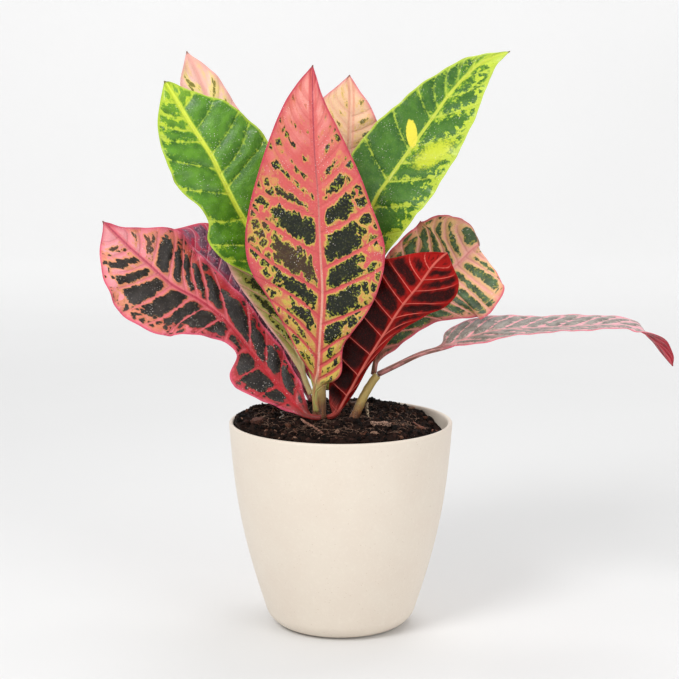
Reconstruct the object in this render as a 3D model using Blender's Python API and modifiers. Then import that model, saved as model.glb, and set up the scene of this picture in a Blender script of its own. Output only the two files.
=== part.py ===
"""Potted croton: a young foliage plant in a tapered plant-fibre pot.

Blender 4.5 script in metres, +Z up. The origin is the centre of the pot's underside and the
plant is seen face on along +Y. Pot and soil are turned; the stems are bevelled curves; each
leaf is one loft that runs from the foot of its stalk to the tip of its blade.
"""

import math
from collections import namedtuple

import bmesh
import bpy
import numpy as np
from mathutils import Matrix, Vector

MM = 0.001
SOIL_CLEARANCE = 0.35 * MM

# Pot.
RIM_RADIUS = 62.5 * MM
POT_HEIGHT = 116.2 * MM
BASE_RADIUS = 39.2 * MM
SIDE_BULGE = 0.2
CORNER_RADIUS = 9.0 * MM
WALL = 2.6 * MM
FLOOR = 3.0 * MM
POT_SIDES = 48
POT_SIDE_ROWS = 8
CORNER_ANGLES = (25, 50, 72, 90)
RIM_ANGLES = (135, 90, 45)

# Soil: level with the rim, heaped a little on the left and sunk on the right.
SOIL_LEVEL = 116.4 * MM
SOIL_RINGS = (6, 14, 23, 32, 41, 49, 55)
SOIL_WAVE_HEIGHT = 0.5 * MM
SOIL_WAVE_LENGTHS = (9 * MM, 8 * MM)
SOIL_WAVE_PHASE = 0.6
SOIL_HEAP = (-48 * MM, 6 * MM, 26 * MM, 30 * MM, 1.2 * MM)
SOIL_DIP = (60 * MM, 8 * MM, 22 * MM, 30 * MM, -9.0 * MM)

# Stems: x, y, z and radius in millimetres, from the planted end up.
MAIN_STEM = ((-12, 0, 103, 4.2), (-12, 0, 112, 4.2), (-12, 0, 121, 3.9), (-11.5, 1, 132, 3.4),
             (-10.5, 2.5, 143, 2.8), (-9.5, 4, 153, 2.0))
SIDE_STEM = ((2.5, 0, 107, 2.7), (6.5, 0, 115.5, 2.7), (9.4, 0, 122, 2.6), (13.5, 0.5, 131, 2.5),
             (18, 1, 138.5, 2.3), (20.5, 1, 141.5, 2.1))
STEM_SIDES = 12
STEM_CURVE_STEPS = 2
HOLE_CLEARANCE = 0.35 * MM
HOLE_LENGTH = 40 * MM
HOLE_SIDES = 20

# Leaves.
STALK_RADIUS = 1.6 * MM
BLADE_HALF_THICKNESS = 0.5 * MM
TIP_RADIUS = 0.45 * MM
BLADE_ONSET = 3
LEAF_SECTION_POINTS = 8
SECTIONS_PER_STATION = 3

# upper: the way the top side of the blade faces, at even steps from foot to tip.
# fold: how far the left and right halves are lifted towards the top side, in degrees.
# stations: x, y, z of the midrib and the left and right half widths, in millimetres.
Leaf = namedtuple("Leaf", "name colour upper fold stations")

LEAVES = (
    Leaf("leaf_front_pink", (0.72, 0.22, 0.19),
         ((-0.1, -1, 0.1), (0, -1, 0.05), (0.05, -1, 0.25)), (8, 8),
         ((-13.6, -5.6, 122.5, 0, 0), (-14.5, -7.5, 131, 0, 0), (-13.7, -9, 139.5, 2, 6),
          (-12.5, -10.5, 147, 6, 13), (-11.5, -15, 164, 16, 14), (-10, -21, 190, 30, 29),
          (-11, -26, 215, 40, 35), (-12, -28, 242, 37, 27), (-14, -26, 268, 27, 18),
          (-15, -20, 295, 14, 6), (-15, -12, 313, 0, 0))),
    Leaf("leaf_upper_left_green", (0.10, 0.30, 0.05),
         ((0, -1, 0.3), (0.2, -1, 0.4), (0.1, -1, 0.5)), (10, 14),
         ((-14.1, -2.5, 136, 0, 0), (-16.5, -3.5, 145, 0, 0), (-21, -3.5, 160, 2, 4),
          (-35, -4, 193, 4, 14), (-46, -5, 216, 21, 20), (-53, -5, 229, 24, 24),
          (-57, -4.5, 236, 19, 27), (-61, -4, 244, 20, 29), (-66, -2, 254, 25, 31),
          (-71, 0, 264, 26, 30), (-83, 5, 282, 20, 22), (-91, 9, 295, 10, 9),
          (-97, 12, 304, 0, 0))),
    Leaf("leaf_upper_right_green", (0.14, 0.32, 0.06),
         ((0, -1, 0.3), (-0.2, -1, 0.45), (-0.1, -1, 0.6)), (18, 18),
         ((-7.4, -1.2, 139, 0, 0), (-5, -1.5, 149, 0, 0), (-3, 0, 164, 4, 4),
          (6, 1, 202, 12, 13.5), (18, 3, 237, 19, 27), (27, 7, 251, 25, 30),
          (38, 12, 266, 24, 29), (50, 18, 282, 20, 26), (62, 24, 298, 14, 21),
          (78, 31, 313, 6, 11), (95, 36, 320, 0, 0))),
    Leaf("leaf_back_left_pale", (0.78, 0.42, 0.28),
         ((0, -1, 0.3), (0.2, -1, 0.3), (0.2, -1, 0.5)), (10, 10),
         ((-16.8, 0.5, 131, 0, 0), (-20.5, 0.5, 141, 1, 1), (-25, 2, 157, 6, 5),
          (-32, 6, 180, 15, 11), (-42, 12, 206, 22, 16), (-54, 20, 235, 23, 19),
          (-65, 28, 265, 18, 18), (-75, 36, 293, 15, 12.5), (-81, 40, 307, 11, 8),
          (-87, 42, 320, 0, 0))),
    Leaf("leaf_back_right_pale", (0.82, 0.48, 0.32),
         ((0, -1, 0.3), (0, -1, 0.3), (0, -1, 0.45)), (8, 8),
         ((-7.7, 6.6, 146, 0, 0), (-7, 8.5, 158, 0, 0), (-5, 9.5, 175, 5, 7),
          (-2, 12, 197, 15, 17), (2, 18, 232, 23, 23), (5, 25, 265, 25, 20),
          (6, 29, 287.5, 20, 12), (6, 31, 297.5, 13, 5), (5, 32, 307, 0, 0))),
    Leaf("leaf_left_red", (0.55, 0.08, 0.10),
         ((0.2, -1, 0.5), (0.2, -1, 0.6), (0.1, -1, 0.6)), (8, 10),
         ((-11, -6.2, 118.8, 0, 0), (-18, -5, 119.8, 2, 2), (-25, -2, 125.3, 6, 7),
          (-32.3, 2, 133, 13, 11), (-39.6, 4, 140.6, 18, 14), (-44, 5.5, 146, 21, 15),
          (-48.6, 6.5, 151.5, 19, 15), (-52.5, 7, 156.6, 9, 15), (-58.6, 7.5, 164.4, 9, 16),
          (-67.5, 8, 174, 17, 17), (-80, 9, 183.4, 27, 20), (-94, 9, 191.3, 33, 24),
          (-107, 7, 203.4, 33, 25), (-117, 4.5, 213, 26, 15), (-124.5, 2, 221, 14, 5),
          (-131, 0, 228, 0, 0))),
    Leaf("leaf_left_behind", (0.45, 0.14, 0.22),
         ((0.3, -1, 0.4), (0.3, -1, 0.6), (0.2, -1, 0.7)), (8, 8),
         ((-16.6, 3.3, 127, 0, 0), (-20, 8, 132, 0, 0), (-27, 13, 140, 6, 5),
          (-41, 20, 160, 16, 13), (-57, 26, 181, 23, 19), (-73, 30, 199, 22, 23),
          (-87, 33, 211, 15, 18), (-98, 35, 219, 0, 0))),
    Leaf("leaf_right_crimson", (0.42, 0.02, 0.02),
         ((0.2, 1, 0.3), (0.2, 1, 0.4), (0.1, 1, 0.5)), (12, 12),
         ((-7.3, -4.5, 118.8, 0, 0), (-3, -5.5, 120.5, 1, 3), (1, -5, 127, 2, 9),
          (6, -6, 136, 3, 14), (14, -9, 151, 3, 20), (24, -13, 168, 6, 25),
          (33, -17, 183, 14, 27), (42, -21, 195, 22, 24), (50, -25, 207, 17, 10),
          (57, -29, 214, 0, 0))),
    Leaf("leaf_right_striped", (0.62, 0.26, 0.22),
         ((-0.3, -1, 0.4), (-0.3, -1, 0.5), (-0.2, -1, 0.5)), (8, 8),
         ((18.4, 4.5, 141.5, 0, 0), (20, 8, 149, 2, 2), (25, 12, 159, 14, 9),
          (39, 18, 177, 28, 17), (54.5, 22, 192, 32, 33), (61, 23, 197.2, 33, 37.5),
          (67.5, 24, 202.4, 33.5, 35.5), (72, 25, 207, 30.5, 28.5), (74.9, 25.7, 209.6, 27, 20.5),
          (76.6, 26.1, 210.9, 22.5, 10.5), (77.5, 26.3, 211.4, 16.5, 4), (78.2, 26.4, 211.6, 7, 1),
          (78.6, 26.5, 211.6, 0, 0))),
    Leaf("leaf_far_right_arched", (0.45, 0.20, 0.20),
         ((0, -0.4, 1), (0, -0.28, 1), (0, -0.05, 1), (0, -0.05, 1), (0.5, 0.6, 1)), (6, 6),
         ((21.2, 0.5, 142.4, 0, 0), (33, -6, 149.5, 0, 0), (44, -10, 155.5, 0, 0),
          (55, -12, 159, 4, 2), (62, -12, 161.5, 17, 5), (73, -12, 165.7, 21, 17),
          (87, -12, 169, 24, 24), (104, -12, 170, 23, 24), (125, -12, 171, 22, 22),
          (145, -13, 172, 19, 20), (157, -13, 171.5, 15, 17), (166, -14, 168.3, 13, 14),
          (173, -14, 163, 10, 11), (179, -14, 156, 6, 6), (182.5, -14, 149.5, 0, 0))),
    Leaf("leaf_back_low", (0.42, 0.10, 0.12),
         ((0, 0.4, 1), (0, -0.2, 1), (0, -0.6, 1)), (12, 12),
         ((-12.7, 5.5, 124, 0, 0), (-14, 14, 132, 0, 0), (-16, 24, 141, 6, 6),
          (-21, 42, 156, 17, 17), (-26, 64, 169, 22, 22), (-31, 86, 177, 18, 18),
          (-35, 103, 178, 10, 10), (-38, 117, 174, 0, 0))),
    Leaf("leaf_back_high", (0.30, 0.28, 0.08),
         ((0, -1, 0.6), (0, -1, 0.9), (0, -1, 1.2)), (12, 12),
         ((-8.2, 4.8, 133, 0, 0), (-5, 11, 143, 0, 0), (-2, 18, 156, 6, 6),
          (0, 30, 178, 16, 16), (2, 43, 203, 22, 22), (3, 55, 228, 20, 20),
          (4, 65, 248, 12, 12), (5, 74, 263, 0, 0))),
    Leaf("young_leaf", (0.35, 0.42, 0.12),
         ((0, -1, 0.2), (0, -1, 0.2)), (55, 55),
         ((-9.5, 4.2, 153.6, 0, 0), (-9, 4.5, 163, 1, 1), (-8.5, 5, 176, 4, 4),
          (-8, 6, 192, 5, 5), (-7.5, 7, 206, 3, 3), (-7, 8, 216, 0, 0))),
)

# Loose bits on the soil: twigs as x, y and a height above the soil, in millimetres.
TWIG_SIDES = 6
TWIG_CURVE_STEPS = 3
TWIG_TAPER = 0.4
CHIP_BEVEL = 0.5 * MM
Twig = namedtuple("Twig", "name colour radius points")

TWIGS = (
    Twig("twig_front", (0.42, 0.24, 0.18), 0.9,
         ((-22, -5, 1.2), (-19, -16, 1.3), (-15, -28, 1.2), (-10, -41, 1.1))),
    Twig("twig_right", (0.45, 0.22, 0.17), 0.9,
         ((41, 7, 1.3), (45, -2, 1.5), (49, -10, 1.4), (53, -18, 1.3))),
    Twig("root_left", (0.45, 0.38, 0.34), 0.6,
         ((-34, -3, 0.8), (-32, 4, 1.0), (-34, 11, 1.1), (-31, 17, 0.8))),
    Twig("dry_sheath", (0.72, 0.58, 0.45), 0.8,
         ((15.5, 3, 0.6), (15, 4.4, 4), (14.6, 4.6, 7), (15.4, 5.0, 9))),
)

Chip = namedtuple("Chip", "name colour place size turn")

CHIPS = (
    Chip("bark_chip_right", (0.48, 0.33, 0.27), (22, -17, 1.5), (11, 4.5, 2.0), -12),
    Chip("bark_chip_left", (0.30, 0.16, 0.13), (-46, -14, 1.6), (9, 5.0, 2.2), 60),
    Chip("bark_chip_back", (0.25, 0.15, 0.11), (10, 38, 1.6), (10, 6.0, 2.2), 25),
)

Finish = namedtuple("Finish", "colour roughness")
POT_FINISH = Finish((0.86, 0.79, 0.68), 0.55)
SOIL_FINISH = Finish((0.035, 0.022, 0.017), 0.95)
STEM_FINISH = Finish((0.45, 0.42, 0.20), 0.6)
LEAF_ROUGHNESS = 0.35
WOOD_ROUGHNESS = 0.85
SHARP_ANGLE = 50
MERGE_DISTANCE = 0.0001
WELD_DISTANCE = 0.01 * MM


def clear_scene():
    for thing in list(bpy.data.objects):
        bpy.data.objects.remove(thing)


def add_collection(name):
    collection = bpy.data.collections.new(name)
    bpy.context.scene.collection.children.link(collection)
    return collection


def plain_material(name, finish):
    material = bpy.data.materials.new(name)
    material.use_nodes = True
    shader = material.node_tree.nodes["Principled BSDF"]
    shader.inputs["Base Color"].default_value = (*finish.colour, 1.0)
    shader.inputs["Roughness"].default_value = finish.roughness
    shader.inputs["Metallic"].default_value = 0.0
    return material


def add_part(name, mesh, finish, collection):
    """Link a mesh as the sub-part of that name, with its own material."""
    mesh.name = name
    mesh.materials.clear()
    mesh.materials.append(plain_material(name, finish))
    mesh.shade_smooth()
    mesh.set_sharp_from_angle(angle=math.radians(SHARP_ANGLE))
    part = bpy.data.objects.new(name, mesh)
    collection.objects.link(part)
    return part


def evaluated_mesh(source):
    """The mesh that an object's modifiers or curve settings give."""
    view = bpy.context.evaluated_depsgraph_get()
    return bpy.data.meshes.new_from_object(source.evaluated_get(view))


def turned_mesh(name, profile, sides):
    """Turn a profile of (radius, height) rows, which starts and ends on the axis."""
    outline = bpy.data.meshes.new(name)
    points = [(radius, 0.0, height) for radius, height in profile]
    outline.from_pydata(points, [(i, i + 1) for i in range(len(points) - 1)], [])
    blank = bpy.data.objects.new(name, outline)
    bpy.context.scene.collection.objects.link(blank)
    screw = blank.modifiers.new("turn", "SCREW")
    screw.steps = sides
    screw.render_steps = sides
    screw.use_merge_vertices = True
    screw.merge_threshold = MERGE_DISTANCE
    mesh = evaluated_mesh(blank)
    bpy.data.objects.remove(blank)
    return mesh


# ---------------------------------------------------------------- pot and soil

def pot_radius(height):
    """Outer radius of the pot's side, which swells a little between base and rim."""
    part_way = height / POT_HEIGHT
    swell = SIDE_BULGE * math.sin(math.pi * part_way)
    radius = BASE_RADIUS + (RIM_RADIUS - BASE_RADIUS) * (part_way + swell)
    if height < CORNER_RADIUS:
        drop = (CORNER_RADIUS - height) / CORNER_RADIUS
        radius -= CORNER_RADIUS * (1 - math.sqrt(1 - drop * drop))
    return radius


def pot_heights():
    """Heights at which the side is drawn, rim first, closer together round the base corner."""
    top = POT_HEIGHT - WALL / 2
    side = list(np.linspace(top, CORNER_RADIUS, POT_SIDE_ROWS + 1))
    corner = [CORNER_RADIUS * (1 - math.sin(math.radians(angle))) for angle in CORNER_ANGLES]
    return side + corner


def rim_arc():
    """The rounded lip, from the inner edge over to the outer one."""
    middle = pot_radius(POT_HEIGHT) - WALL / 2
    height = POT_HEIGHT - WALL / 2
    angles = [math.radians(angle) for angle in RIM_ANGLES]
    return [(middle + WALL / 2 * math.cos(a), height + WALL / 2 * math.sin(a)) for a in angles]


def cavity_profile(clearance):
    """Inside of the pot from the axis up to the rim, or a solid that fills it with a clearance."""
    floor = FLOOR + clearance
    heights = [h for h in reversed(pot_heights()) if h > floor + CORNER_RADIUS / 2]
    foot = (pot_radius(heights[0]) - WALL - clearance - CORNER_RADIUS / 2, floor)
    return [(0.0, floor), foot] + [(pot_radius(h) - WALL - clearance, h) for h in heights]


def make_pot(collection):
    outside = [(pot_radius(h), h) for h in pot_heights()] + [(0.0, 0.0)]
    profile = cavity_profile(0.0) + rim_arc() + outside
    mesh = turned_mesh("pot", profile, POT_SIDES)
    return add_part("pot", mesh, POT_FINISH, collection)


def bump(x, y, shape):
    centre_x, centre_y, spread_x, spread_y, height = shape
    across = (x - centre_x) / spread_x
    along = (y - centre_y) / spread_y
    return height * math.exp(-across * across - along * along)


def soil_height(x, y):
    """Height of the soil: nearly level, uneven in soft waves, heaped left and sunk right."""
    length_x, length_y = SOIL_WAVE_LENGTHS
    waves = math.sin(x / length_x) * math.cos(y / length_y + SOIL_WAVE_PHASE)
    return SOIL_LEVEL + SOIL_WAVE_HEIGHT * waves + bump(x, y, SOIL_HEAP) + bump(x, y, SOIL_DIP)


def soil_surface(place):
    """Move a point of the flat top to the soil's real height, no farther out than the pot's wall."""
    height = soil_height(place.x, place.y)
    limit = pot_radius(min(height, POT_HEIGHT)) - WALL - SOIL_CLEARANCE
    radius = math.hypot(place.x, place.y)
    inward = min(1.0, limit / radius) if radius > 0 else 1.0
    return Vector((place.x * inward, place.y * inward, height))


def make_soil(collection, planted):
    """Fill the pot, shape the top and leave a close hole for each planted stem."""
    side = [row for row in cavity_profile(SOIL_CLEARANCE) if row[1] < SOIL_LEVEL + SOIL_DIP[-1]]
    top = [(radius * MM, SOIL_LEVEL) for radius in (0,) + SOIL_RINGS] + [(RIM_RADIUS, SOIL_LEVEL)]
    mesh = turned_mesh("soil", top + side[::-1], POT_SIDES)
    for vertex in mesh.vertices:
        if vertex.co.z > SOIL_LEVEL - SOIL_CLEARANCE:
            vertex.co = soil_surface(vertex.co)
    soil = add_part("soil", mesh, SOIL_FINISH, collection)
    for cutter in planted:
        hole = soil.modifiers.new(cutter.name, "BOOLEAN")
        hole.operation = "DIFFERENCE"
        hole.object = cutter
    return soil


# ---------------------------------------------------------------- stems and twigs

def tube_mesh(name, points, radii, sides):
    """A round tube with filled caps through a list of places, as a welded mesh."""
    curve = bpy.data.curves.new(name, "CURVE")
    curve.dimensions = "3D"
    curve.bevel_depth = 1.0
    curve.bevel_resolution = sides // 2 - 2
    curve.use_fill_caps = True
    spline = curve.splines.new("POLY")
    spline.points.add(len(points) - 1)
    for point, place, radius in zip(spline.points, points, radii):
        point.co = (*place, 1.0)
        point.radius = radius
    holder = bpy.data.objects.new(name, curve)
    bpy.context.scene.collection.objects.link(holder)
    mesh = evaluated_mesh(holder)
    bpy.data.objects.remove(holder)
    weld(mesh)
    return mesh


def weld(mesh):
    form = bmesh.new()
    form.from_mesh(mesh)
    bmesh.ops.remove_doubles(form, verts=form.verts, dist=WELD_DISTANCE)
    bmesh.ops.recalc_face_normals(form, faces=form.faces)
    form.to_mesh(mesh)
    form.free()


def make_stem(name, stem, collection):
    rows = smooth_rows(stem, STEM_CURVE_STEPS)
    places = [tuple(row[:3] * MM) for row in rows]
    mesh = tube_mesh(name, places, [row[3] * MM for row in rows], STEM_SIDES)
    return add_part(name, mesh, STEM_FINISH, collection)


def stem_hole_cutter(name, stem, collection):
    """A straight rod a little wider than the planted end of a stem."""
    foot = Vector(stem[0][:3]) * MM
    aim = (Vector(stem[1][:3]) * MM - foot).normalized()
    radius = stem[0][3] * MM + HOLE_CLEARANCE
    form = bmesh.new()
    bmesh.ops.create_cone(form, cap_ends=True, segments=HOLE_SIDES, radius1=radius, radius2=radius,
                          depth=HOLE_LENGTH)
    middle = foot + aim * (HOLE_LENGTH / 2 - HOLE_CLEARANCE)
    turn = aim.to_track_quat("Z", "Y").to_matrix().to_4x4()
    bmesh.ops.transform(form, matrix=Matrix.Translation(middle) @ turn, verts=form.verts)
    mesh = bpy.data.meshes.new(name)
    form.to_mesh(mesh)
    form.free()
    cutter = bpy.data.objects.new(name, mesh)
    cutter.hide_render = True
    cutter.display_type = "WIRE"
    collection.objects.link(cutter)
    return cutter


def make_twig(twig, collection):
    """A thin twig or root that lies over the soil."""
    rows = smooth_rows(twig.points, TWIG_CURVE_STEPS)
    places = [(x * MM, y * MM, soil_height(x * MM, y * MM) + lift * MM) for x, y, lift in rows]
    part_way = np.linspace(0, math.pi, len(rows))
    radii = twig.radius * MM * (1 - TWIG_TAPER + TWIG_TAPER * np.sin(part_way))
    mesh = tube_mesh(twig.name, places, radii, TWIG_SIDES)
    add_part(twig.name, mesh, Finish(twig.colour, WOOD_ROUGHNESS), collection)


def make_chip(chip, collection):
    """A flat flake of bark: a cube with its corners taken off, turned on the soil."""
    x, y, lift = (value * MM for value in chip.place)
    form = bmesh.new()
    bmesh.ops.create_cube(form, size=1.0)
    bmesh.ops.scale(form, vec=[value * MM for value in chip.size], verts=form.verts)
    bmesh.ops.bevel(form, geom=form.edges[:], offset=CHIP_BEVEL, segments=1, affect="EDGES")
    place = Matrix.Translation((x, y, soil_height(x, y) + lift))
    turn = Matrix.Rotation(math.radians(chip.turn), 4, "Z")
    bmesh.ops.transform(form, matrix=place @ turn, verts=form.verts)
    mesh = bpy.data.meshes.new(chip.name)
    form.to_mesh(mesh)
    form.free()
    add_part(chip.name, mesh, Finish(chip.colour, WOOD_ROUGHNESS), collection)


# ---------------------------------------------------------------- leaves

def smooth_rows(rows, steps):
    """A Catmull-Rom curve through rows of numbers, with some steps between each two."""
    known = np.array(rows, dtype=float)
    ends = np.vstack([2 * known[0] - known[1], known, 2 * known[-1] - known[-2]])
    curve = []
    for before, start, stop, after in zip(ends, ends[1:], ends[2:], ends[3:]):
        for t in np.arange(steps) / steps:
            bend = 2 * before - 5 * start + 4 * stop - after
            twist = -before + 3 * start - 3 * stop + after
            curve.append(start + 0.5 * t * ((stop - before) + t * (bend + t * twist)))
    return np.array(curve + [known[-1]])


def unit_rows(vectors):
    return vectors / np.linalg.norm(vectors, axis=1, keepdims=True)


def leaf_frame(places, upper):
    """Sideways and upward directions at each place along the midrib."""
    along = unit_rows(np.gradient(places, axis=0))
    where = np.linspace(0, len(upper) - 1, len(places))
    facing = np.stack([np.interp(where, range(len(upper)), axis) for axis in np.array(upper).T], axis=1)
    sideways = unit_rows(np.cross(along, facing))
    return sideways, np.cross(sideways, along)


def leaf_section(place, sideways, upward, halves, fold, radius):
    """One closed ring across the leaf: round on the stalk, thin and folded on the blade."""
    ring = []
    for i in range(LEAF_SECTION_POINTS):
        angle = 2 * math.pi * i / LEAF_SECTION_POINTS
        reach = math.cos(angle)
        half = 1 if reach > 0 else 0
        width = max(halves[half], radius)
        bladed = min((width / radius - 1) / BLADE_ONSET, 1.0)
        depth = radius + (BLADE_HALF_THICKNESS - radius) * bladed
        lift = math.radians(fold[half]) * bladed
        out = sideways * (width * reach * math.cos(lift))
        up = upward * (width * abs(reach) * math.sin(lift) + depth * math.sin(angle))
        ring.append(place + out + up)
    return ring


def loft_mesh(name, rings):
    """A closed skin over a row of rings with equal point counts."""
    form = bmesh.new()
    levels = [[form.verts.new(point) for point in ring] for ring in rings]
    count = len(rings[0])
    for lower, higher in zip(levels, levels[1:]):
        for i in range(count):
            after = (i + 1) % count
            form.faces.new((lower[i], lower[after], higher[after], higher[i]))
    form.faces.new(levels[0])
    form.faces.new(levels[-1])
    bmesh.ops.recalc_face_normals(form, faces=form.faces)
    mesh = bpy.data.meshes.new(name)
    form.to_mesh(mesh)
    form.free()
    return mesh


def make_leaf(leaf, collection):
    rows = smooth_rows(leaf.stations, SECTIONS_PER_STATION) * MM
    places = rows[:, :3]
    halves = np.maximum(rows[:, 3:], 0.0)
    sideways, upward = leaf_frame(places, leaf.upper)
    radii = np.linspace(STALK_RADIUS, TIP_RADIUS, len(rows))
    rings = [leaf_section(*row, leaf.fold, radius)
             for *row, radius in zip(places, sideways, upward, halves, radii)]
    mesh = loft_mesh(leaf.name, rings)
    add_part(leaf.name, mesh, Finish(leaf.colour, LEAF_ROUGHNESS), collection)


def main():
    clear_scene()
    croton = add_collection("potted_croton")
    cutters = add_collection("cutters")
    planted = [stem_hole_cutter("main_stem_hole", MAIN_STEM, cutters),
               stem_hole_cutter("side_stem_hole", SIDE_STEM, cutters)]
    make_pot(croton)
    make_soil(croton, planted)
    make_stem("stem_main", MAIN_STEM, croton)
    make_stem("stem_side", SIDE_STEM, croton)
    for leaf in LEAVES:
        make_leaf(leaf, croton)
    for twig in TWIGS:
        make_twig(twig, croton)
    for chip in CHIPS:
        make_chip(chip, croton)


main()
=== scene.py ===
"""Looks of the potted croton: leaves, stems, soil and pot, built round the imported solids.

Lengths in the tables are millimetres; everything made from them is in metres, +Z up.
"""

import math
from collections import namedtuple

import bmesh
import bpy
import numpy as np
from bpy.props import FloatProperty, FloatVectorProperty, IntProperty, PointerProperty
from mathutils import Matrix, Vector


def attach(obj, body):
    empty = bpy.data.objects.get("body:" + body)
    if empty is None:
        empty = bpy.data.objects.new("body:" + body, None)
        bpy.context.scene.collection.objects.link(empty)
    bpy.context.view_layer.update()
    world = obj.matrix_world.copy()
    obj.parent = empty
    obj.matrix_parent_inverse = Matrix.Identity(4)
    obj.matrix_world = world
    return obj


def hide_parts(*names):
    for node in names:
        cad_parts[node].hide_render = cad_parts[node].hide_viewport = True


bl_info = {
    "name": "Potted croton",
    "version": (1, 0, 0),
    "blender": (4, 5, 0),
    "location": "3D View > Sidebar > Croton",
    "description": "Builds a young croton in a plant-fibre pot, piece by piece",
    "category": "Object",
}

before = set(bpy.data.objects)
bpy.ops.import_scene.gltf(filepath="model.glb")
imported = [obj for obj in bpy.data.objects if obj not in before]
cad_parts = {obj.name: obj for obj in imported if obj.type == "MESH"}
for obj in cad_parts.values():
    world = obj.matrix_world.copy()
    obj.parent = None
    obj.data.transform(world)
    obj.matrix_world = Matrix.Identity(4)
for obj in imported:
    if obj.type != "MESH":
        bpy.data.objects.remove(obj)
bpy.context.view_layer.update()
MM = 0.001

# ---- leaf tables

# wave: height of the ripples along the margin. fold: how far the halves are lifted, in degrees.
# upper: the way the top side faces, at even steps from foot to tip.
# stations: x, y, z of the midrib and the left and right half widths.
# left, right: veins as (start on the midrib, end at the margin, how far the cell above is filled);
# a cell is full where nothing is said.
Leaf = namedtuple("Leaf", "name look wave fold upper stations left right")


def even_veins(first, last, spacing, slant, fill=1.0):
    """Veins at even steps up the midrib, all slanted alike, their cells emptier near the tip."""
    count = round((last - first) / spacing) + 1
    return tuple((first + i * spacing, first + i * spacing + slant,
                  fill * min(1.0, 2.4 * (1 - i / count))) for i in range(count))


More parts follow.
